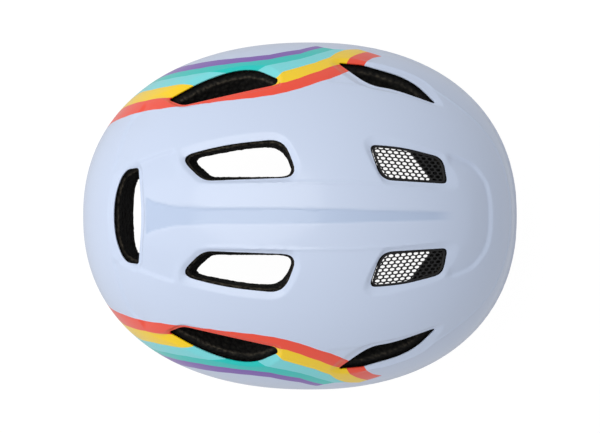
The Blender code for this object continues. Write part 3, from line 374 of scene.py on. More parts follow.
def mesh_object(name, points, faces, surface=None):
    """A new object from points in mm and faces."""
    mesh = bpy.data.meshes.new(name)
    mesh.from_pydata([tuple(p) for p in np.asarray(points) * MM], [], [tuple(map(int, f)) for f in faces])
    mesh.validate()
    mesh.update()
    if surface:
        mesh.materials.append(surface)
    mesh.shade_smooth()
    return linked(name, mesh)


def ring_faces(rings, count, base=0, closed=False):
    """Quads between rings of count points each. closed joins the last ring to the first."""
    starts = [base + ring * count for ring in range(rings)]
    pairs = zip(starts, starts[1:] + starts[:1] if closed else starts[1:])
    return [(a + k, a + (k + 1) % count, b + (k + 1) % count, b + k) for a, b in pairs for k in range(count)]


def tube_faces(rings, count, base=0):
    """Quads between rings of count points each, and a cap at each end."""
    last = base + (rings - 1) * count
    caps = [tuple(range(base, base + count)), tuple(range(last, last + count))]
    return ring_faces(rings, count, base) + caps


def float_attribute(obj, name, values):
    attribute = obj.data.attributes.new(name, "FLOAT", "POINT")
    attribute.data.foreach_set("value", np.asarray(values, np.float32))


def stored(obj, name):
    values = np.empty(len(obj.data.vertices), np.float32)
    obj.data.attributes[name].data.foreach_get("value", values)
    return values


def vertex_vectors(obj, key):
    values = np.empty(len(obj.data.vertices) * 3)
    obj.data.vertices.foreach_get(key, values)
    return values.reshape(-1, 3)


def mesh_points(obj):
    return vertex_vectors(obj, "co") / MM


def set_mesh_points(obj, points):
    obj.data.vertices.foreach_set("co", (np.asarray(points) * MM).ravel())
    obj.data.update()


def configured(target, settings):
    for key, value in settings.items():
        setattr(target, key, value)
    return target


def modify(obj, kind, **settings):
    return configured(obj.modifiers.new(kind.lower(), kind), settings)


def round_edges(obj, width, segments, degrees):
    modify(obj, "BEVEL", width=width * MM, segments=segments, limit_method="ANGLE", angle_limit=math.radians(degrees))


def apply_modifiers(obj):
    graph = bpy.context.evaluated_depsgraph_get()
    mesh = bpy.data.meshes.new_from_object(obj.evaluated_get(graph), preserve_all_data_layers=True,
                                           depsgraph=graph)
    obj.modifiers.clear()
    obj.data = mesh


def subdivided(obj):
    modify(obj, "SUBSURF", levels=1, render_levels=1)
    apply_modifiers(obj)
    obj.data.shade_smooth()


@contextmanager
def edited(obj):
    """The object's mesh as a bmesh, which is written back at the end."""
    bm = bmesh.new()
    bm.from_mesh(obj.data)
    yield bm
    bm.to_mesh(obj.data)
    bm.free()


def outward(obj):
    with edited(obj) as bm:
        bmesh.ops.recalc_face_normals(bm, faces=bm.faces)
    return obj


def place(piece, body, node_name):
    """Rides a finished piece on its body, in place of its CAD node."""
    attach(piece, body)
    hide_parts(node_name)


def place_between(piece, body, moving, start, end, slot, node_name):
    """Bakes a finished piece's transform and leaves it where it is, in place of its CAD node."""
    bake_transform(piece)
    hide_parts(node_name)


def disc_place(u, v):
    """Points of a square from -1 to 1, bent onto a disc, as (angle from the front, reach)."""
    x, y = u * np.sqrt(1 - v ** 2 / 2), v * np.sqrt(1 - u ** 2 / 2)
    return np.arctan2(x, -y), np.minimum(np.hypot(x, y), 1.0)


def graded_disc(coarse, wanted):
    """A square grid on a disc. Its cells split in four up to twice, where wanted(turn, reach, round) says so."""
    line = np.arange(coarse) * 4
    cells, kept = np.stack(np.meshgrid(line, line, indexing="ij"), -1).reshape(-1, 2), []
    for step, size in enumerate((4, 2)):
        middle = (cells + size / 2) / (coarse * 2) - 1
        split = wanted(*disc_place(*middle.T), step)
        kept.append((cells[~split], size))
        half = size // 2
        cells = np.concatenate([cells[split] + corner for corner in ((0, 0), (half, 0), (half, half), (0, half))])
    kept.append((cells, 1))
    span = coarse * 4 + 1
    used = np.zeros((span, span), bool)
    for group, size in kept:
        for corner in ((0, 0), (size, 0), (size, size), (0, size)):
            used[tuple((group + corner).T)] = True
    index = np.full((span, span), -1)
    index[used] = np.arange(used.sum())
    faces = []
    for group, size in kept:
        sides = [(i, 0) for i in range(size)] + [(size, i) for i in range(size)]
        sides += [(size - i, size) for i in range(size)] + [(0, size - i) for i in range(size)]
        rings = np.stack([index[tuple((group + side).T)] for side in sides], -1)
        faces += [ring[ring >= 0] for ring in rings]
    at = np.argwhere(used) / (coarse * 2) - 1
    return (*disc_place(*at.T), faces)


def clip_faces(points, faces, field):
    """Cuts away the part of a mesh where field is negative, along its zero line. Returns points and faces."""
    points, extra, made, cuts = list(points), [], [], {}
    field = np.asarray(field)
    for face in faces:
        values = field[list(face)]
        if (values >= 0).all():
            made.append(tuple(face))
            continue
        if (values < 0).all():
            continue
        ring = []
        for k, a in enumerate(face):
            b = face[(k + 1) % len(face)]
            if field[a] >= 0:
                ring.append(a)
            if (field[a] >= 0) != (field[b] >= 0):
                key = (min(a, b), max(a, b))
                if key not in cuts:
                    t = field[key[0]] / (field[key[0]] - field[key[1]])
                    cuts[key] = len(points) + len(extra)
                    extra.append(points[key[0]] * (1 - t) + points[key[1]] * t)
                ring.append(cuts[key])
        if len(ring) > 2:
            made.append(tuple(ring))
    return np.array(points + extra), made


# ---------------------------------------------------------------- vents

OUTLINES = [rounded_outline(corners) for corners in (CENTRE_VENT, MESH_VENT, REAR_SLOT, SIDE_VENT, LEAF_VENT)]
BEZELS = [closed_curve(border) for border in (CENTRE_BEZEL, MESH_BEZEL, SLOT_BEZEL, SIDE_BEZEL, LEAF_BEZEL)]
UPPER = WIDEST_Z + 6  # every vent lies above this height


def left_plan(points):
    """Plan places, with the wearer's right folded onto the left."""
    return np.stack([np.abs(points[:, 0]), points[:, 1]], -1)


def ridge(half, line, height, width, start, end=0):
    """A rib along a traced line, which rises over start and falls over end."""
    distance, _, along, length = distance_to_line(half, smooth_line(line, 3))
    lift = height * smoothstep(0, start, along) * np.clip(1 - distance / width, 0, 1)
    return lift * (1 - smoothstep(length - end, length, along)) if end else lift


def relief(points):
    """How far the shell's moulded surface stands above the plain dome, in mm."""
    half = left_plan(points)
    lift = ridge(half, SPINE_RIB, RIB_HEIGHT, RIB_REACH, 5, 8)
    lift += ridge(half, BROW_FOLD, RIDGE_HEIGHT, RIDGE_REACH, 14) - GROOVE_DEPTH * groove_mask(half)
    for line, depth, wall, reach, (first, last) in FOLDS:
        distance, side, along, length = distance_to_line(half, smooth_line(line, 3))
        taper = smoothstep(0, first, along) if first else 1.0
        taper = taper * (1 - smoothstep(length - last, length, along)) if last else taper
        drop = np.clip(distance / wall, 0, 1) * (1 - smoothstep(wall, reach, distance))
        lift -= depth * taper * np.where(side > 0, drop, 0)
    for outline, border, depth in zip(OUTLINES, BEZELS, BEZEL_DEPTHS):
        to_border = np.maximum(-signed_distance(half, border), 0)
        to_vent = np.maximum(signed_distance(half, outline), 0)
        lift -= depth * to_border / (to_border + to_vent + 1e-6)
    return np.where(points[:, 2] > UPPER, lift, 0)


def groove_edge(half):
    """How far plan points lie inside the edge of the groove along the middle of the crown."""
    return np.interp(half[:, 1], *np.array(GROOVE_HALVES).T) - half[:, 0]


def groove_mask(half):
    """1 on the floor of the groove, and 0 outside it."""
    ends = smoothstep(*GROOVE_ENDS[0], half[:, 1]) * (1 - smoothstep(*GROOVE_ENDS[1], half[:, 1]))
    return np.clip(groove_edge(half) / GROOVE_WALL + 0.5, 0, 1) * ends


# ---------------------------------------------------------------- shell

def border_height(degrees, border):
    """Height of a band's border at each angle from the front."""
    return np.interp(degrees, *np.array(sorted(border)).T)


def outer_normals(points):
    """Outward directions of the plain dome at its points, by small steps along it."""
    step = 0.05
    x, y = points[:, 0], points[:, 1]
    slope_x = (OUTER.height(x + step, y) - OUTER.height(x - step, y)) / (2 * step)
    slope_y = (OUTER.height(x, y + step) - OUTER.height(x, y - step)) / (2 * step)
    normal = np.stack([-slope_x, -slope_y, np.ones(len(x))], -1)
    level = np.stack([x / HALF_WIDTH ** 2, (y - WIDEST_Y) / HALF_LENGTH ** 2, np.zeros(len(x))], -1)
    steep = (OUTER.share(x, y) > 0.995) | (points[:, 2] < WIDEST_Z + 4)
    return unit(np.where(steep[:, None], level, normal))


def dome_points(turn, reach, crown_share=0.74):
    """Spreads a disc's points over the dome and its skirt, evenly along the way down to the trim."""
    way = np.where(reach < crown_share, reach / crown_share, 1 + (reach - crown_share) / (1 - crown_share))
    return OUTER.surface(turn, way, rim_height(turn) + TRIM_HEIGHT)


def band_fields(points):
    """How far points lie inside the colour bands, and above each border between two colours."""
    degrees = np.degrees(np.abs(turn_of(points[:, 0], points[:, 1])))
    z = np.where(points[:, 2] > UPPER, OUTER.height(points[:, 0], points[:, 1]), points[:, 2])
    wrap = np.stack([degrees, z], -1) * WRAP_SCALE
    red_front = -signed_distance(wrap, np.array(RED_FRONT) * WRAP_SCALE)
    limit = np.vstack([BANDS_FRONT, [(180, -60), (65.7, -60)]])
    inside = np.minimum(border_height(degrees, RED_TOP) - z, z - border_height(degrees, BANDS_BOTTOM))
    fields = {"bands": np.minimum(inside, -signed_distance(wrap, limit * WRAP_SCALE))}
    for name, border in (("red", YELLOW_TOP), ("yellow", CYAN_TOP), ("cyan", TEAL_TOP), ("teal", PURPLE_TOP)):
        above = z - border_height(degrees, border)
        fields[name] = np.maximum(above, red_front) if name == "red" else above
    return fields


def near_detail(turn, reach, step):
    """Whether a cell of the shell's grid lies so near a vent, fold or colour border that it has to split."""
    points = dome_points(turn, reach)
    half = left_plan(points)
    nearest = np.full(len(points), 1e9)
    for line in (*OUTLINES, *BEZELS):
        nearest = np.minimum(nearest, np.abs(signed_distance(half, line)))
    for line in (*(fold[0] for fold in FOLDS), SPINE_RIB):
        distance, side, *_ = distance_to_line(half, line)
        nearest = np.minimum(nearest, np.where(side > 0, distance - NEAR_WALL, distance))
    on_groove = np.where(np.abs(half[:, 1]) < 87, np.abs(groove_edge(half)), 1e9)
    near = (np.minimum(nearest, on_groove) < NEAR_LINES[step]) & (points[:, 2] > UPPER)
    fields = band_fields(points)
    to_colour = np.min([np.abs(fields[name]) for name in ("red", "yellow", "cyan", "teal")], axis=0)
    on_border = (np.abs(fields["bands"]) < NEAR_COLOURS) | (fields["bands"] > 0) & (to_colour < NEAR_COLOURS)
    return near | on_border if step == 0 else near


def make_shell(surface):
    turn, reach, faces = graded_disc(SHELL_CELLS, near_detail)
    points = dome_points(turn, reach)
    points += outer_normals(points) * relief(points)[:, None]
    half = left_plan(points)
    outside = np.min([signed_distance(half, outline) for outline in OUTLINES], axis=0)
    points, faces = clip_faces(points, faces, np.where(points[:, 2] > UPPER, outside, 1e3))
    shell = mesh_object("helmet_shell", points, faces, surface)
    # The groove mask is stored as well; the shell's material paints shade in the groove with it.
    for name, values in (*band_fields(points).items(), ("groove", groove_mask(left_plan(points)))):
        float_attribute(shell, name, values)
    with edited(shell) as bm:
        bmesh.ops.remove_doubles(bm, verts=bm.verts, dist=0.02 * MM)
        bmesh.ops.delete(bm, geom=[v for v in bm.verts if not v.link_faces], context="VERTS")
        bmesh.ops.recalc_face_normals(bm, faces=bm.faces)
        if sum(f.normal.z for f in bm.faces) < 0:
            bmesh.ops.reverse_faces(bm, faces=bm.faces)
    shell.data.shade_smooth()
    modify(shell, "SOLIDIFY", thickness=SHELL_THICKNESS * MM, offset=-1)
    round_edges(shell, SHELL_ROUNDING, 1, 60)
    apply_modifiers(shell)
    place(shell, "helmet", "outer_shell")


# ---------------------------------------------------------------- foam, net and trim

def copied(name, node_name):
    """A new object with a copy of a CAD node's mesh."""
    made = linked(name, frame["nodes"][node_name].data.copy())
    made.data.materials.clear()
    return made


def bead_height(points, size):
    """Height of close round beads at points in mm: 1 at a bead's middle and 0 where beads meet."""
    cells = np.array([voronoi(Vector(point / size))[0][:2] for point in points])
    return np.clip((cells[:, 1] - cells[:, 0]) * 1.6, 0, 1)


def make_foam(surface):
    """The liner: the CAD solid remeshed, set back on the true domes, then beaded."""
    foam = copied("foam_liner_beaded", "foam_liner")
    modify(foam, "REMESH", mode="VOXEL", voxel_size=FOAM_VOXEL * MM)
    apply_modifiers(foam)
    points, normals = mesh_points(foam), vertex_vectors(foam, "normal")
    for dome in (FOAM_OUTER, CAVITY):
        move = dome.offset(points)
        length = np.linalg.norm(move, axis=1)
        slope = np.abs((unit(move, 1e-6) * normals).sum(1))
        close = (length < 1.1) & ((slope > 0.85) | (length < 0.15))
        points[close] += move[close]
    depth = np.linalg.norm(FOAM_OUTER.offset(points), axis=1)
    outward_way = unit(OUTER.offset(points), 1e-6)
    on_wall = 1 - smoothstep(0.5, 0.85, np.abs((outward_way * normals).sum(1)))
    ledge = FOAM_LEDGE * on_wall * (1 - smoothstep(*LEDGE_FADE, depth)) * (points[:, 2] > UPPER)
    beads = BEAD_HEIGHT * (bead_height(points, BEAD_SIZE) - 0.6)
    outer_face = (depth < OUTER_SKIN) & (on_wall < 0.5)
    lowest, upper = relief(points), (depth < NEAR_SURFACE) & (points[:, 2] > UPPER)
    lowest[upper] = np.min([relief(points[upper] + (x, y, 0)) for x, y in FOAM_SHIFTS], axis=0)
    follow = lowest * (1 - smoothstep(*FOLLOW_FADE, depth))
    points += outward_way * (follow - FOAM_SETBACK * (1 - smoothstep(*SETBACK_FADE, depth)))[:, None]
    points += normals * (ledge + np.where(outer_face, 0, beads))[:, None]
    set_mesh_points(foam, points)
    inner_face = 1 - smoothstep(0.5, 2.0, np.linalg.norm(CAVITY.offset(points), axis=1))
    float_attribute(foam, "pale", np.maximum(on_wall * (1 - smoothstep(*PALE_FADE, depth)), 0.3 * inner_face))
    foam.data.materials.append(surface)
    foam.data.shade_smooth()
    place(foam, "helmet", "foam_liner")


def net_cells(outline):
    """Bricks of the net's plan, each with a rounded hole."""
    turn = math.radians(NET_TURN)
    along, across = np.array([-math.sin(turn), -math.cos(turn)]), np.array([math.cos(turn), -math.sin(turn)])
    edge = [(-2, -1), (-1, -1), (0, -1), (1, -1), (2, -1), (2, 0), (2, 1), (1, 1), (0, 1), (-1, 1), (-2, 1), (-2, 0)]
    brick = [(x * NET_PITCH / 4, y * NET_ROW / 2) for x, y in edge]
    for x, y in edge:
        angle = math.atan2(y * NET_HOLE[1] * 0.95, x * NET_HOLE[0] / 2)
        brick.append((NET_HOLE[0] * math.cos(angle), NET_HOLE[1] * math.sin(angle)))
    points, faces = [], []
    for row in range(-24, 25):
        for column in range(-16, 17):
            start = ((column + (row % 2) / 2) * NET_PITCH, row * NET_ROW)
            corners = [np.array(NET_CENTRE) + along * (start[0] + x) + across * (start[1] + y)
                       for x, y in [(0, 0), *brick]]
            if signed_distance(corners[0][None], outline)[0] <= NET_MARGIN:
                faces += ring_faces(2, len(edge), len(points))
                points += corners[1:]
    return np.array(points), faces


def on_dome(plan, depth):
    height = OUTER.height(plan[:, 0], plan[:, 1])
    return np.stack([plan[:, 0], plan[:, 1], height - depth], -1)


def make_net(side, surface):
    """An insect net with its moulded frame. side is 1 on the wearer's left and -1 on the right."""
    outline = rounded_outline(MESH_VENT)
    outline = outline + (np.array(NET_CENTRE) - outline) * np.array(NET_INSET)
    points, faces = net_cells(outline)
    points, faces = clip_faces(points, faces, 0.4 - signed_distance(points, outline))
    middle = sum(NET_DEPTHS) / 2
    sheet = on_dome(points, middle) * (side, 1, 1)
    net = mesh_object("bug_net_" + SIDES[side], sheet, faces, surface)
    with edited(net) as bm:
        bmesh.ops.remove_doubles(bm, verts=bm.verts, dist=0.03 * MM)
        frame_verts = []
        for inset, depth in NET_FRAME:
            ring = on_dome(outline + inwards(outline) * inset, middle + depth) * (side, 1, 1)
            frame_verts += [bm.verts.new(p * MM) for p in ring]
        for face in ring_faces(len(NET_FRAME), len(outline), closed=True):
            bm.faces.new([frame_verts[k] for k in face])
        bmesh.ops.recalc_face_normals(bm, faces=bm.faces)
    modify(net, "SOLIDIFY", thickness=NET_THICKNESS * MM, offset=0)
    net.data.shade_smooth()
    apply_modifiers(net)
    place(net, "helmet", "bug_mesh_" + SIDES[side])


def inwards(outline):
    """Unit directions into a closed outline at its points."""
    along = unit(np.roll(outline, -1, axis=0) - np.roll(outline, 1, axis=0))
    ways = np.stack([-along[:, 1], along[:, 0]], -1)
    return ways if signed_distance(outline + ways * 0.2, outline).mean() < 0 else -ways


def make_trim(surface):
    """The dark strip round the rim, with rolled edges."""
    turns = np.linspace(-math.pi, math.pi, 361)[:-1]
    rise, thick = TRIM_HEIGHT - LAYER_GAP, TRIM_THICKNESS
    section = [(0, 0.7), (0.25, 0.2), (0.7, 0), (thick, 0.1), (thick, rise * 0.5), (thick, rise - 0.1),
               (0.7, rise), (0.25, rise - 0.15), (0, rise - 0.6), (0, rise * 0.5)]
    inset = TRIM_THICKNESS + LAYER_GAP - SHELL_INSET
    rows = []
    for depth, height in section:
        dome = Dome(depth - inset, depth - inset, 0)
        z = rim_height(turns) + height
        share = 1 - TUCK * ((WIDEST_Z - z) / WIDEST_Z) ** 2
        rows.append(np.stack([*dome.plan(turns, share), z], -1))
    faces = ring_faces(len(section), len(turns), closed=True)
    trim = outward(mesh_object("rim_trim_strip", np.concatenate(rows), faces, surface))
    place(trim, "helmet", "rim_trim")


# ---------------------------------------------------------------- webbing

def resampled(path, step):
    """Points a step apart along a path."""
    path = np.array(path, float)
    gaps = np.linalg.norm(np.diff(path, axis=0), axis=1)
    run = np.concatenate([[0], np.cumsum(gaps)])
    at = np.linspace(0, run[-1], max(2, round(run[-1] / step) + 1))
    return np.stack([np.interp(at, run, path[:, k]) for k in range(3)], -1), at


def web_frames(path, across):
    along = unit(np.gradient(path, axis=0))
    across = np.broadcast_to(np.array(across, float), path.shape)
    side = unit(across - along * (along * across).sum(1)[:, None])
    return side, np.cross(along, side)


def tube(name, path, across, ring, surface, lift=0.0):
    """A closed tube along a path, with a ring of (place across, place through) and a flat cap at each end."""
    side, through = web_frames(path, across)
    points = np.stack([path + side * x + through * (y + lift) for x, y in ring], 1).reshape(-1, 3)
    return outward(mesh_object(name, points, tube_faces(len(path), len(ring)), surface))


def webbing(name, path, across, surface, lift=0.0):
    """A woven band along a path, with thin selvages and cut ends. It stores how far each point lies along it."""
    path, at = resampled(path, WEB_STEP)
    half, thick = WEB_WIDTH / 2, WEB_THICKNESS / 2
    top = [(-half, 0), (-half + 0.25, 0.62), (-half + 0.9, 1), (-half + 1.5, 0.84), (-half + 2.1, 1),
           (0, 1), (half - 2.1, 1), (half - 1.5, 0.84), (half - 0.9, 1), (half - 0.25, 0.62), (half, 0)]
    ring = [(x, y * thick) for x, y in top + [(x, -y) for x, y in top[-2:0:-1]]]
    band = tube(name, path, across, ring, surface, lift)
    float_attribute(band, "run", np.repeat(at, len(ring)))
    float_attribute(band, "span", np.tile([x for x, _ in ring], len(path)))
    return band


def stitches(name, path, across, rows, start, end, surface, lift):
    """Lines of thread along a band, as short rounded stitches. rows are their places across it."""
    path, at = resampled(path, STITCH_STEP)
    side, through = web_frames(path, across)
    points, faces = [], []
    for row in rows:
        for first in np.arange(start, end - STITCH_PITCH * 0.5, STITCH_PITCH):
            faces += tube_faces(5, 5, len(points))
            for t in np.linspace(0, 1, 5):
                k = int(np.searchsorted(at, first + t * STITCH_LENGTH).clip(0, len(at) - 1))
                rise = STITCH_RISE * math.sin(math.pi * t) - STITCH_SINK
                middle = path[k] + side[k] * row + through[k] * math.copysign(abs(lift) + rise, lift)
                for angle in np.arange(5) / 5 * math.tau:
                    points.append(middle + side[k] * THREAD_HALVES[0] * math.cos(angle)
                                  + through[k] * THREAD_HALVES[1] * math.sin(angle))
    return outward(mesh_object(name, np.array(points), faces, surface))


def joined(name, pieces):
    """One object from several, each of which keeps its own material slots."""
    materials = list(dict.fromkeys(used for piece in pieces for used in piece.data.materials))
    bm = bmesh.new()
    for piece in pieces:
        order = [materials.index(used) for used in piece.data.materials]
        old_faces = len(bm.faces)
        bm.from_mesh(piece.data)
        bm.faces.ensure_lookup_table()
        for face in bm.faces[old_faces:]:
            face.material_index = order[face.material_index]
    mesh = bpy.data.meshes.new(name)
    bm.to_mesh(mesh)
    bm.free()
    for used in materials:
        mesh.materials.append(used)
    for piece in pieces:
        bpy.data.objects.remove(piece)
    return linked(name, mesh)


def strap_between(name, top, bottom, side, surface, thread):
    """A front or rear strap, from its anchor in the foam down to the side divider."""
    path = np.array([top, bottom], float) * (side, 1, 1)
    length = np.linalg.norm(path[1] - path[0])
    across = np.cross((side, 0, 0), (path[1] - path[0]) / length)
    seams = [stitches("seam", path, across, SEAM_ROWS, length - 14, length - 6, thread, lift)
             for lift in (FACE_LIFT, -FACE_LIFT)]
    return joined(name, [webbing("layer", path, across, surface), *seams])


def lower_path(side):
    ends = [(32.8, -20, -106)] if side > 0 else [(24, -20, -106), (9.35, -20, -106)]
    return smooth_line([(side * x, y, z) for x, y, z in (*LOWER_STRAP, *ends)], 10)


def make_straps(surface, thread):
    x, y, z = SPLITTER
    for side, word in SIDES.items():
        for name, top, way in (("front", FRONT_STRAP_TOP, -7.6), ("rear", REAR_STRAP_TOP, 7.4)):
            strap = strap_between("strap_%s_%s_web" % (name, word), top, (x + 0.2, y + way, z + 10), side, surface,
                                  thread)
            place(strap, "helmet", "strap_%s_%s" % (name, word))
        path, across = lower_path(side), (0, 1, 0)
        bands = [webbing("layer", path, across, surface, lift) for lift in (LAYER_LIFT, -LAYER_LIFT)]
        run = resampled(path, STITCH_STEP)[1][-1]
        for lift in (DOUBLE_FACE_LIFT, -DOUBLE_FACE_LIFT):
            for start, end in ((4, 16), (run - 16, run - 5)):
                bands.append(stitches("seam", path, across, LOWER_SEAM_ROWS, start, end, thread, lift))
        strap = joined("strap_lower_%s_web" % word, bands)
        if side < 0:
            place_between(strap, "helmet", "buckle_plug", *STRAP_PULL, "webbing", "strap_lower_right")
        else:
            place(strap, "helmet", "strap_lower_left")
    tail = webbing("strap_tail_web", lower_path(1)[20:], (0, 1, 0), surface, TAIL_LIFT)
    place(tail, "helmet", "strap_tail")


# ---------------------------------------------------------------- padding

def wall_place(turns, heights):
    """Part of the cavity's wall between two angles from the front, in degrees, and two heights."""
    def place_at(u, v):
        turn = np.radians(turns[0] + (turns[1] - turns[0]) * u)
        z = heights[0] + (heights[1] - heights[0]) * v
        upper = np.sqrt(np.maximum(0, 1 - (np.maximum(z - WIDEST_Z, 0) / CAVITY.rise) ** 2))
        return np.stack([*CAVITY.plan(turn, upper), z], -1)
    return place_at


def roof_place(xs, ys):
    """Part of the cavity's roof between two pairs of plan lines."""
    def place_at(u, v):
        x, y = xs[0] + (xs[1] - xs[0]) * u, ys[0] + (ys[1] - ys[0]) * v
        return np.stack([x, y, CAVITY.height(x, y)], -1)
    return place_at


def patch_points(place_at, u, v, rise):
    """Points of a patch of the cavity, lifted off the wall by rise, and the directions in which it lifts."""
    step = 1e-3
    points = place_at(u, v)
    inward = unit(np.cross(place_at(u + step, v) - points, place_at(u, v + step) - points))
    toward = np.array([0, WIDEST_Y, WIDEST_Z]) - points
    inward *= np.sign((inward * toward).sum(1))[:, None]
    return points + inward * rise, inward


def patch_solid(name, place_at, size, clearance, thickness, surface, step, puff, flip=1):
    """A closed patch with drawn-in corners. puff is how far its middle is thicker than its edge, as a share."""
    across, tall = (max(4, round(s / step)) for s in size)
    s, t = np.meshgrid(np.linspace(-1, 1, across + 1), np.linspace(-1, 1, tall + 1), indexing="ij")
    s, t = s.ravel(), t.ravel()
    u, v = (a * np.sqrt(1 - DRAW_IN * b ** 2) / 2 + 0.5 for a, b in ((s, t), (t, s)))
    gap = np.minimum((1 - np.abs(s)) * size[0] / 2, (1 - np.abs(t)) * size[1] / 2)
    crown = np.sqrt(np.clip(1 - (1 - np.clip(gap / EDGE_ROUND, 0, 1)) ** 2, 0, 1))
    low, inward = patch_points(place_at, u, v, clearance)
    high = low + inward * (thickness * (1 - puff + puff * crown))[:, None]
    index = np.arange(len(u)).reshape(across + 1, tall + 1)
    quads = np.stack([index[:-1, :-1], index[1:, :-1], index[1:, 1:], index[:-1, 1:]], -1).reshape(-1, 4)
    border = np.concatenate([index[:-1, 0], index[-1, :-1], index[:0:-1, -1], index[0, :0:-1]])
    count = len(u)
    sides = [(a, b, b + count, a + count) for a, b in zip(border, np.roll(border, -1))]
    points = np.concatenate([low, high]) * (flip, 1, 1)
    patch = mesh_object(name, points, [*quads, *(quads + count), *sides], surface)
    for key, values, length in zip(("run", "span"), (u, v), size):
        float_attribute(patch, key, np.tile((values - 0.5) * length, 2))
    float_attribute(patch, "top", np.repeat([0.0, 1.0], count))
    return outward(patch), np.tile(inward, (2, 1)) * (flip, 1, 1)


def puff_up(pad, cap, pressure):
    """Blows a pad up with cloth simulation. cap limits how far each of its points moves."""
    before = mesh_points(pad)
    cloth = pad.modifiers.new("cloth", "CLOTH")
    configured(cloth.settings, {"use_pressure": True, "uniform_pressure_force": pressure, "quality": CLOTH_QUALITY})
    cloth.settings.effector_weights.gravity = 0
    configured(cloth.point_cache, {"frame_start": 1, "frame_end": CLOTH_FRAMES})
    for number in range(1, CLOTH_FRAMES + 1):
        bpy.context.scene.frame_set(number)
    apply_modifiers(pad)
    bpy.context.scene.frame_set(1)
    move = mesh_points(pad) - before
    length = np.linalg.norm(move, axis=1)
    set_mesh_points(pad, before + move * (np.minimum(length, cap) / np.maximum(length, 1e-6))[:, None])


def make_pad(name, node_name, place_at, size, thickness, channels, surface, flip=1):
    """A sewn pad on the cavity's wall. channels are sewn lines: ("run" or "span", place in mm)."""
    pad, inward = patch_solid(name, place_at, size, PAD_CLEARANCE, thickness * PAD_START, surface, PAD_STEP,
                              PAD_PUFF, flip)
    puff_up(pad, np.where(stored(pad, "top") > 0.5, PAD_CAPS[1], PAD_CAPS[0]), PAD_PRESSURE)
    run, span, top = (stored(pad, key) for key in ("run", "span", "top"))
    edge = np.minimum(size[0] / 2 - np.abs(run), size[1] / 2 - np.abs(span))
    press = SEAM_DEPTH * np.exp(-((edge - SEAM_INSET) / 0.9) ** 2)
    for key, at in channels:
        press = np.maximum(press, CHANNEL_DEPTH * np.exp(-(((run if key == "run" else span) - at) / 1.2) ** 2))
    set_mesh_points(pad, mesh_points(pad) - inward * (press * top * smoothstep(0.5, 2, edge))[:, None])
    subdivided(pad)
    place(pad, "helmet", node_name)


def make_padding(cloth, hooks):
    brow = [("run", at) for at in (-44, -26, -9, 9, 26, 44)]
    make_pad("brow_pad_sewn", "brow_pad", wall_place((-50, 50), (21, 43)), (134, 22), 6, brow, cloth)
    crown = [("span", at) for at in (-30, -10, 10, 30)]
    make_pad("crown_pad_sewn", "crown_pad", roof_place((-12, 12), (-48, 52)), (24, 102), 6, crown, cloth)
    for side, word in SIDES.items():
        make_pad("side_pad_sewn_" + word, "side_pad_" + word, roof_place((47, 62), (-32, 6)), (19, 39), 5,
                 [("span", -7), ("span", 7)], cloth, side)
        make_pad("rear_pad_sewn_" + word, "rear_pad_" + word, wall_place((118, 141), (26, 46)), (35, 20), 5,
                 [("run", -6), ("run", 6)], cloth, side)
        for name, place_at, size in (("brow_hook", wall_place((24, 36), (27, 38)), (17, 11)),
                                     ("side_hook", roof_place((51, 59), (-22, -6)), (10, 16))):
            make_hook(name + "_tape_" + word, name + "_" + word, place_at, size, hooks, side)
    for name, ys in (("crown_hook_front", (-34, -16)), ("crown_hook_rear", (20, 38))):
        make_hook(name + "_tape", name, roof_place((-8, 8), ys), (16, 18), hooks, 1)


def make_hook(name, node_name, place_at, size, surface, side):
    tape, inward = patch_solid(name, place_at, size, HOOK_CLEARANCE, HOOK_THICKNESS, surface, HOOK_STEP, HOOK_PUFF,
                               side)
    bumps = np.array([voronoi(Vector(point / HOOK_PITCH))[0][0] for point in mesh_points(tape)])
    rough = stored(tape, "top") * (0.3 - 0.5 * np.clip(bumps, 0, 1))
    set_mesh_points(tape, mesh_points(tape) + inward * rough[:, None])
    place(tape, "helmet", node_name)


def make_chin_pad(surface):
    """The soft sleeve on the right strap, under the chin."""
    path = lower_path(-1)
    path = resampled(path[(path[:, 0] > CHIN_SPAN[0]) & (path[:, 0] < CHIN_SPAN[1])], CHIN_STEP)[0]
    side, through = web_frames(path, (0, 1, 0))
    turns = np.arange(36) / 36 * math.tau
    x, y = np.cos(turns), np.sin(turns)
    outer, inner = (np.stack([np.sign(x) * np.abs(x) ** a * half[0], np.sign(y) * np.abs(y) ** b * half[1]], -1)
                    for half, a, b in ((CHIN_HALF, 0.55, 0.75), (CHIN_HOLE, 0.3, 0.3)))
    rows, count, last = [], len(turns), len(path) - 1
    for k in range(len(path)):
        ease = 1 - 0.28 * max(0, 1 - min(k, last - k) / 2.5) ** 2
        rows.append(path[k] + side[k] * outer[:, :1] * (0.9 + 0.1 * ease) + through[k] * outer[:, 1:] * ease)
    for k in range(len(path))[::-1]:
        rows.append(path[k] + side[k] * inner[:, :1] + through[k] * inner[:, 1:])
    total = len(rows)
    pad = mesh_object("chin_pad_sleeve", np.concatenate(rows), ring_faces(total, count, closed=True), surface)
    at = np.arange(total)
    float_attribute(pad, "run", np.repeat(np.where(at <= last, at, 2 * last + 1 - at) * CHIN_STEP, count))
    float_attribute(pad, "span", np.tile(outer[:, 0], total))
    outward(pad)
    puff_up(pad, np.where(np.repeat(at <= last, count), CHIN_CAP, 0.0), CHIN_PRESSURE)
    subdivided(pad)
    place_between(pad, "helmet", "buckle_plug", *STRAP_PULL, "padding", "chin_pad")


# ---------------------------------------------------------------- head-band and hard parts

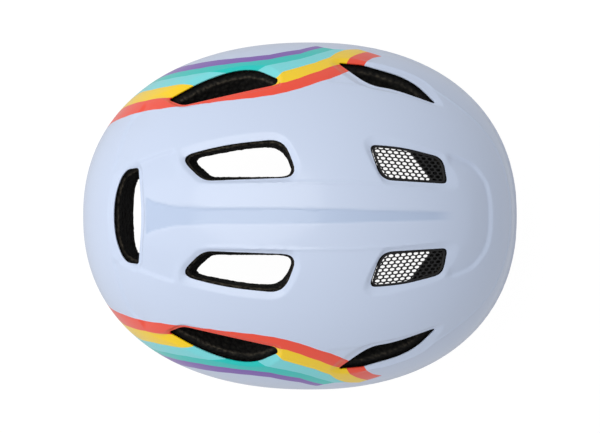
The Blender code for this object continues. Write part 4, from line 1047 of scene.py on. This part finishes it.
def make_belt(side, rack_z, surface):
    """A belt from its temple pin to its rack."""
    controls = [(side * x, y, z + (rack_z if k > 4 else 0)) for k, (x, y, z) in enumerate(BELT_LINE)]
    path = resampled(smooth_line(controls, 10), 1.0)[0]
    section = [(-4, 0.45), (-3.8, 0.75), (-3, 0.8), (-2.7, 0.55), (2.7, 0.55), (3, 0.8), (3.8, 0.75), (4, 0.45)]
    ring = section + [(x, -y) for x, y in section[::-1]]
    belt = tube("belt_band_" + SIDES[side], path, (0, 0, 1), ring, surface)
    start, end = np.array([side * 63.5, 40, 5]) * MM, np.array([side * 30, 75, rack_z]) * MM
    place_between(belt, "retention", SIDES[side] + "_rack", start, end, "hard_plastic", "belt_" + SIDES[side])


# Hard parts whose sharp edges are rounded, by the width of the rounding in mm.
ROUNDED = ((0.5, ("buckle_female", "buckle_male", "buckle_arm_front", "buckle_arm_rear")),
           (0.6, ("splitter_left", "splitter_right")), (0.3, ("splitter_lever_left", "splitter_lever_right")),
           (0.4, ("cradle", "dial_housing")), (0.6, ("height_clip_left", "height_clip_right")),
           (0.5, ("strap_anchor_front_left", "strap_anchor_front_right", "strap_anchor_rear_left",
                  "strap_anchor_rear_right", "strap_keeper", "temple_anchor_left", "temple_anchor_right")))


def make_rounded(node_name, width, surface):
    piece = copied(node_name + "_rounded", node_name)
    with edited(piece) as bm:
        bmesh.ops.remove_doubles(bm, verts=bm.verts, dist=0.01 * MM)
        bmesh.ops.dissolve_limit(bm, angle_limit=math.radians(1.5), verts=bm.verts, edges=bm.edges)
    piece.data.materials.append(surface)
    round_edges(piece, width, 3, 40)
    apply_modifiers(piece)
    piece.data.shade_smooth()
    piece.data.set_sharp_from_angle(angle=math.radians(35))
    place(piece, frame["nodes"][node_name]["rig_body"], node_name)


# ---------------------------------------------------------------- materials

def new_material(name, constants):
    """A new material, its node tree and its shader, with constants set on the shader's own sockets."""
    made = bpy.data.materials.new(name)
    made.use_nodes = True
    tree = made.node_tree
    shader = tree.nodes["Principled BSDF"]
    for key, value in constants.items():
        shader.inputs[key].default_value = value
    return made, tree, shader


def node(tree, kind, **settings):
    return configured(tree.nodes.new(kind), settings)


def feed(tree, socket, value):
    """Links a socket to another, or sets it to a number or a plain colour."""
    if isinstance(value, bpy.types.NodeSocket):
        tree.links.new(value, socket)
    else:
        socket.default_value = (*value, 1) if isinstance(value, tuple) else value


def mix_colour(tree, factor, first, second):
    mix = node(tree, "ShaderNodeMix", data_type="RGBA")
    for place_in, value in ((0, factor), (6, first), (7, second)):
        feed(tree, mix.inputs[place_in], value)
    return mix.outputs[2]


def combine(tree, operation, *values):
    made = node(tree, "ShaderNodeMath", operation=operation)
    for socket, value in zip(made.inputs, values):
        feed(tree, socket, value)
    return made.outputs[0]


def from_mesh(tree, name):
    """A value that the mesh stores at its points."""
    return node(tree, "ShaderNodeAttribute", attribute_name=name).outputs["Fac"]


def bump(tree, shader, height, strength, distance):
    made = node(tree, "ShaderNodeBump")
    for key, value in (("Strength", strength), ("Distance", distance), ("Height", height)):
        feed(tree, made.inputs[key], value)
    feed(tree, shader.inputs["Normal"], made.outputs[0])


def textured(tree, kind, scale, **more):
    """A procedural texture node in object coordinates, which are in metres."""
    made = node(tree, kind)
    for key, value in (("Scale", scale), *more.items()):
        made.inputs[key].default_value = value
    feed(tree, made.inputs["Vector"], node(tree, "ShaderNodeTexCoord").outputs["Object"])
    return made


def noise(tree, scale, detail=2.0):
    return textured(tree, "ShaderNodeTexNoise", scale, Detail=detail).outputs["Fac"]


def ripple(tree, distance, period):
    """A sine wave along a distance in mm."""
    return combine(tree, "SINE", combine(tree, "MULTIPLY", distance, math.tau / period))


def shell_material():
    made, tree, shader = new_material("glossy_shell", {
        "Roughness": 0.42, "Specular IOR Level": 0.35, "Coat Weight": 0.5, "Coat Roughness": 0.14, "Coat IOR": 1.4})
    colour = PURPLE
    for name, paint in (("teal", TEAL), ("cyan", CYAN), ("yellow", YELLOW), ("red", RED)):
        colour = mix_colour(tree, combine(tree, "GREATER_THAN", from_mesh(tree, name), 0.0), colour, paint)
    colour = mix_colour(tree, combine(tree, "GREATER_THAN", from_mesh(tree, "bands"), 0.0), LILAC, colour)
    # Painted shade: the groove along the crown is tinted darker, for the shade of its hollow.
    colour = mix_colour(tree, from_mesh(tree, "groove"), colour, GROOVE_PAINTED_SHADE)
    feed(tree, shader.inputs["Base Color"], colour)
    bump(tree, shader, noise(tree, 900, 1.0), 0.05, 0.0002)
    return made


def foam_material():
    """Black expanded foam: close beads, paler on their tops."""
    made, tree, shader = new_material("black_foam", {"Roughness": 0.9, "Specular IOR Level": 0.2})
    cells = textured(tree, "ShaderNodeTexVoronoi", 420).outputs["Distance"]
    ramp = node(tree, "ShaderNodeValToRGB")
    low, high = ramp.color_ramp.elements
    low.color, high.color, high.position = (0.012, 0.011, 0.009, 1), (0.002, 0.002, 0.002, 1), 0.75
    feed(tree, ramp.inputs[0], cells)
    pale = combine(tree, "MULTIPLY", from_mesh(tree, "pale"), combine(tree, "SUBTRACT", 1.0, cells))
    feed(tree, shader.inputs["Base Color"], mix_colour(tree, pale, ramp.outputs[0], (0.085, 0.072, 0.052)))
    bump(tree, shader, combine(tree, "MULTIPLY", cells, -1.0), 0.9, 0.0012)
    return made


def plain_material(name, colour, roughness, metallic=0.0):
    """Moulded plastic, rubber, metal or thread: a slightly uneven colour and a fine grain."""
    made, tree, shader = new_material(name, {"Metallic": metallic, "Roughness": roughness})
    paler = tuple(min(1, c * 1.25) for c in colour)
    feed(tree, shader.inputs["Base Color"], mix_colour(tree, noise(tree, 60), colour, paler))
    bump(tree, shader, noise(tree, 600, 3.0), 0.15, 0.0002)
    return made


def webbing_material():
    """Woven tape: ribs across it, crossed by its lengthwise yarns."""
    made, tree, shader = new_material("woven_webbing", {"Roughness": 0.82, "Sheen Weight": 0.25})
    ribs, yarns = (combine(tree, "MULTIPLY_ADD", ripple(tree, from_mesh(tree, name), period), 0.5, 0.5)
                   for name, period in (("run", 1.5), ("span", 1.1)))
    weave = combine(tree, "MULTIPLY", ribs, combine(tree, "ADD", combine(tree, "MULTIPLY", yarns, 0.6), 0.4))
    colour = mix_colour(tree, weave, (0.008, 0.008, 0.009), (0.034, 0.034, 0.037))
    fuzz = combine(tree, "MULTIPLY", noise(tree, 1800, 3.0), 0.35)
    feed(tree, shader.inputs["Base Color"], mix_colour(tree, fuzz, colour, (0.05, 0.05, 0.054)))
    bump(tree, shader, weave, 0.8, 0.0003)
    return made


def pad_material():
    """Knitted pad cloth: small diamonds, with a soft nap."""
    made, tree, shader = new_material("knit_cloth", {"Roughness": 0.95, "Sheen Weight": 0.35})
    run, span = (from_mesh(tree, name) for name in ("run", "span"))
    knit = combine(tree, "MULTIPLY", *(
        combine(tree, "ABSOLUTE", ripple(tree, combine(tree, operation, run, span), 1.5))
        for operation in ("ADD", "SUBTRACT")))
    nap = noise(tree, 900, 4.0)
    colour = mix_colour(tree, knit, (0.014, 0.015, 0.019), (0.058, 0.062, 0.075))
    colour = mix_colour(tree, combine(tree, "MULTIPLY", nap, 0.4), colour, (0.075, 0.08, 0.095))
    feed(tree, shader.inputs["Base Color"], colour)
    bump(tree, shader, combine(tree, "ADD", knit, combine(tree, "MULTIPLY", nap, 0.5)), 0.7, 0.0003)
    return made


# ---------------------------------------------------------------- stage

CAMERA_DISTANCE, CAMERA_X, PHOTO_SPAN, SENSOR = 2.0, -0.0003, 0.5658 * 600 * MM, 36.0
LIGHTS_AIM = Vector((0, 0, 0.05))
FLOOR_Z, FLOOR_HALF = -0.114, 3.0
WORLD_LIGHT = (0.36, 0.70)  # its strength from the wearer's front (-Y) to the rear
# Each light's name, place, size, power and colour.
LIGHTS = (("key", (0.28, 0.70, 2.05), 1.9, 25.5, (1, 0.985, 0.95)), ("rim", (0.3, 2.0, 1.0), 1.4, 4, (1, 1, 1)))


def make_camera():
    camera = linked("camera", bpy.data.cameras.new("camera"))
    camera.data.sensor_width = SENSOR
    camera.data.lens = SENSOR * CAMERA_DISTANCE / PHOTO_SPAN
    camera.data.clip_start, camera.data.clip_end = 0.05, 20
    right, up, back = Vector((0, -1, 0)), Vector((1, 0, 0)), Vector((0, 0, 1))
    turn = Matrix((right, up, back)).transposed().to_4x4()
    camera.matrix_world = Matrix.Translation((CAMERA_X, 0, WIDEST_Z * MM + CAMERA_DISTANCE)) @ turn
    bpy.context.scene.camera = camera


def make_stage():
    """Studio light that is stronger from behind the helmet, and a white floor."""
    scene = bpy.context.scene
    scene.view_settings.view_transform = "Standard"
    scene.world = bpy.data.worlds.new("studio")
    scene.world.use_nodes = True
    tree = scene.world.node_tree
    background = tree.nodes["Background"]
    split = node(tree, "ShaderNodeSeparateXYZ")
    feed(tree, split.inputs[0], node(tree, "ShaderNodeTexCoord").outputs["Generated"])
    ramp = node(tree, "ShaderNodeMapRange")
    for name, value in (("From Min", -1.0), ("From Max", 1.0), ("To Min", WORLD_LIGHT[0]),
                        ("To Max", WORLD_LIGHT[1]), ("Value", split.outputs["Y"])):
        feed(tree, ramp.inputs[name], value)
    feed(tree, background.inputs["Strength"], ramp.outputs[0])
    background.inputs["Color"].default_value = (0.98, 0.985, 1.015, 1)
    for name, spot, size, power, colour in LIGHTS:
        light = linked(name, configured(bpy.data.lights.new(name, "AREA"), {
            "shape": "DISK", "size": size, "energy": power, "color": colour}))
        light.location = spot
        light.rotation_euler = (LIGHTS_AIM - Vector(spot)).to_track_quat("-Z", "Y").to_euler()
    corners = np.array([(-1, -1, 0), (1, -1, 0), (1, 1, 0), (-1, 1, 0)]) * FLOOR_HALF / MM
    floor = mesh_object("floor", corners, [(0, 1, 2, 3)], new_material("floor_white", {
        "Base Color": (0.08, 0.08, 0.08, 1), "Roughness": 1.0, "Specular IOR Level": 0.0,
        "Emission Color": (1, 1, 1, 1), "Emission Strength": 0.96})[0])
    floor.location.z = FLOOR_Z
    floor.visible_glossy = False


def main():
    make_camera()
    make_stage()
    finishes = {
        "shell": shell_material(), "foam": foam_material(), "padding": pad_material(), "webbing": webbing_material(),
        "trim": plain_material("trim_black", (0.02, 0.02, 0.022), 0.45),
        "thread": plain_material("thread_grey", (0.05, 0.05, 0.055), 0.8),
        "net": plain_material("net_black", (0.006, 0.006, 0.0065), 0.75),
        "hook_tape": plain_material("hook_black", (0.01, 0.01, 0.01), 0.9),
        "hard_plastic": plain_material("plastic_black", (0.014, 0.014, 0.015), 0.42),
        "dial_grey": plain_material("plastic_grey", (0.25, 0.28, 0.36), 0.4),
        "keeper_rubber": plain_material("rubber_black", (0.012, 0.012, 0.012), 0.7),
        "steel": plain_material("plain_steel", (0.55, 0.55, 0.56), 0.3, metallic=1.0)}
    slots = {entry["node"]: entry["material_slot"] for entry in frame["record"]["subparts"]}
    for name, piece in frame["nodes"].items():
        piece.data.materials.clear()
        piece.data.materials.append(finishes[slots[name]])
    make_shell(finishes["shell"])
    make_foam(finishes["foam"])
    for side in SIDES:
        make_net(side, finishes["net"])
    make_trim(finishes["trim"])
    make_straps(finishes["webbing"], finishes["thread"])
    make_padding(finishes["padding"], finishes["hook_tape"])
    make_chin_pad(finishes["padding"])
    for side, rack_z in zip(SIDES, RACK_HEIGHTS):
        make_belt(side, rack_z, finishes["hard_plastic"])
    for width, names in ROUNDED:
        for name in names:
            make_rounded(name, width, finishes[slots[name]])


main()
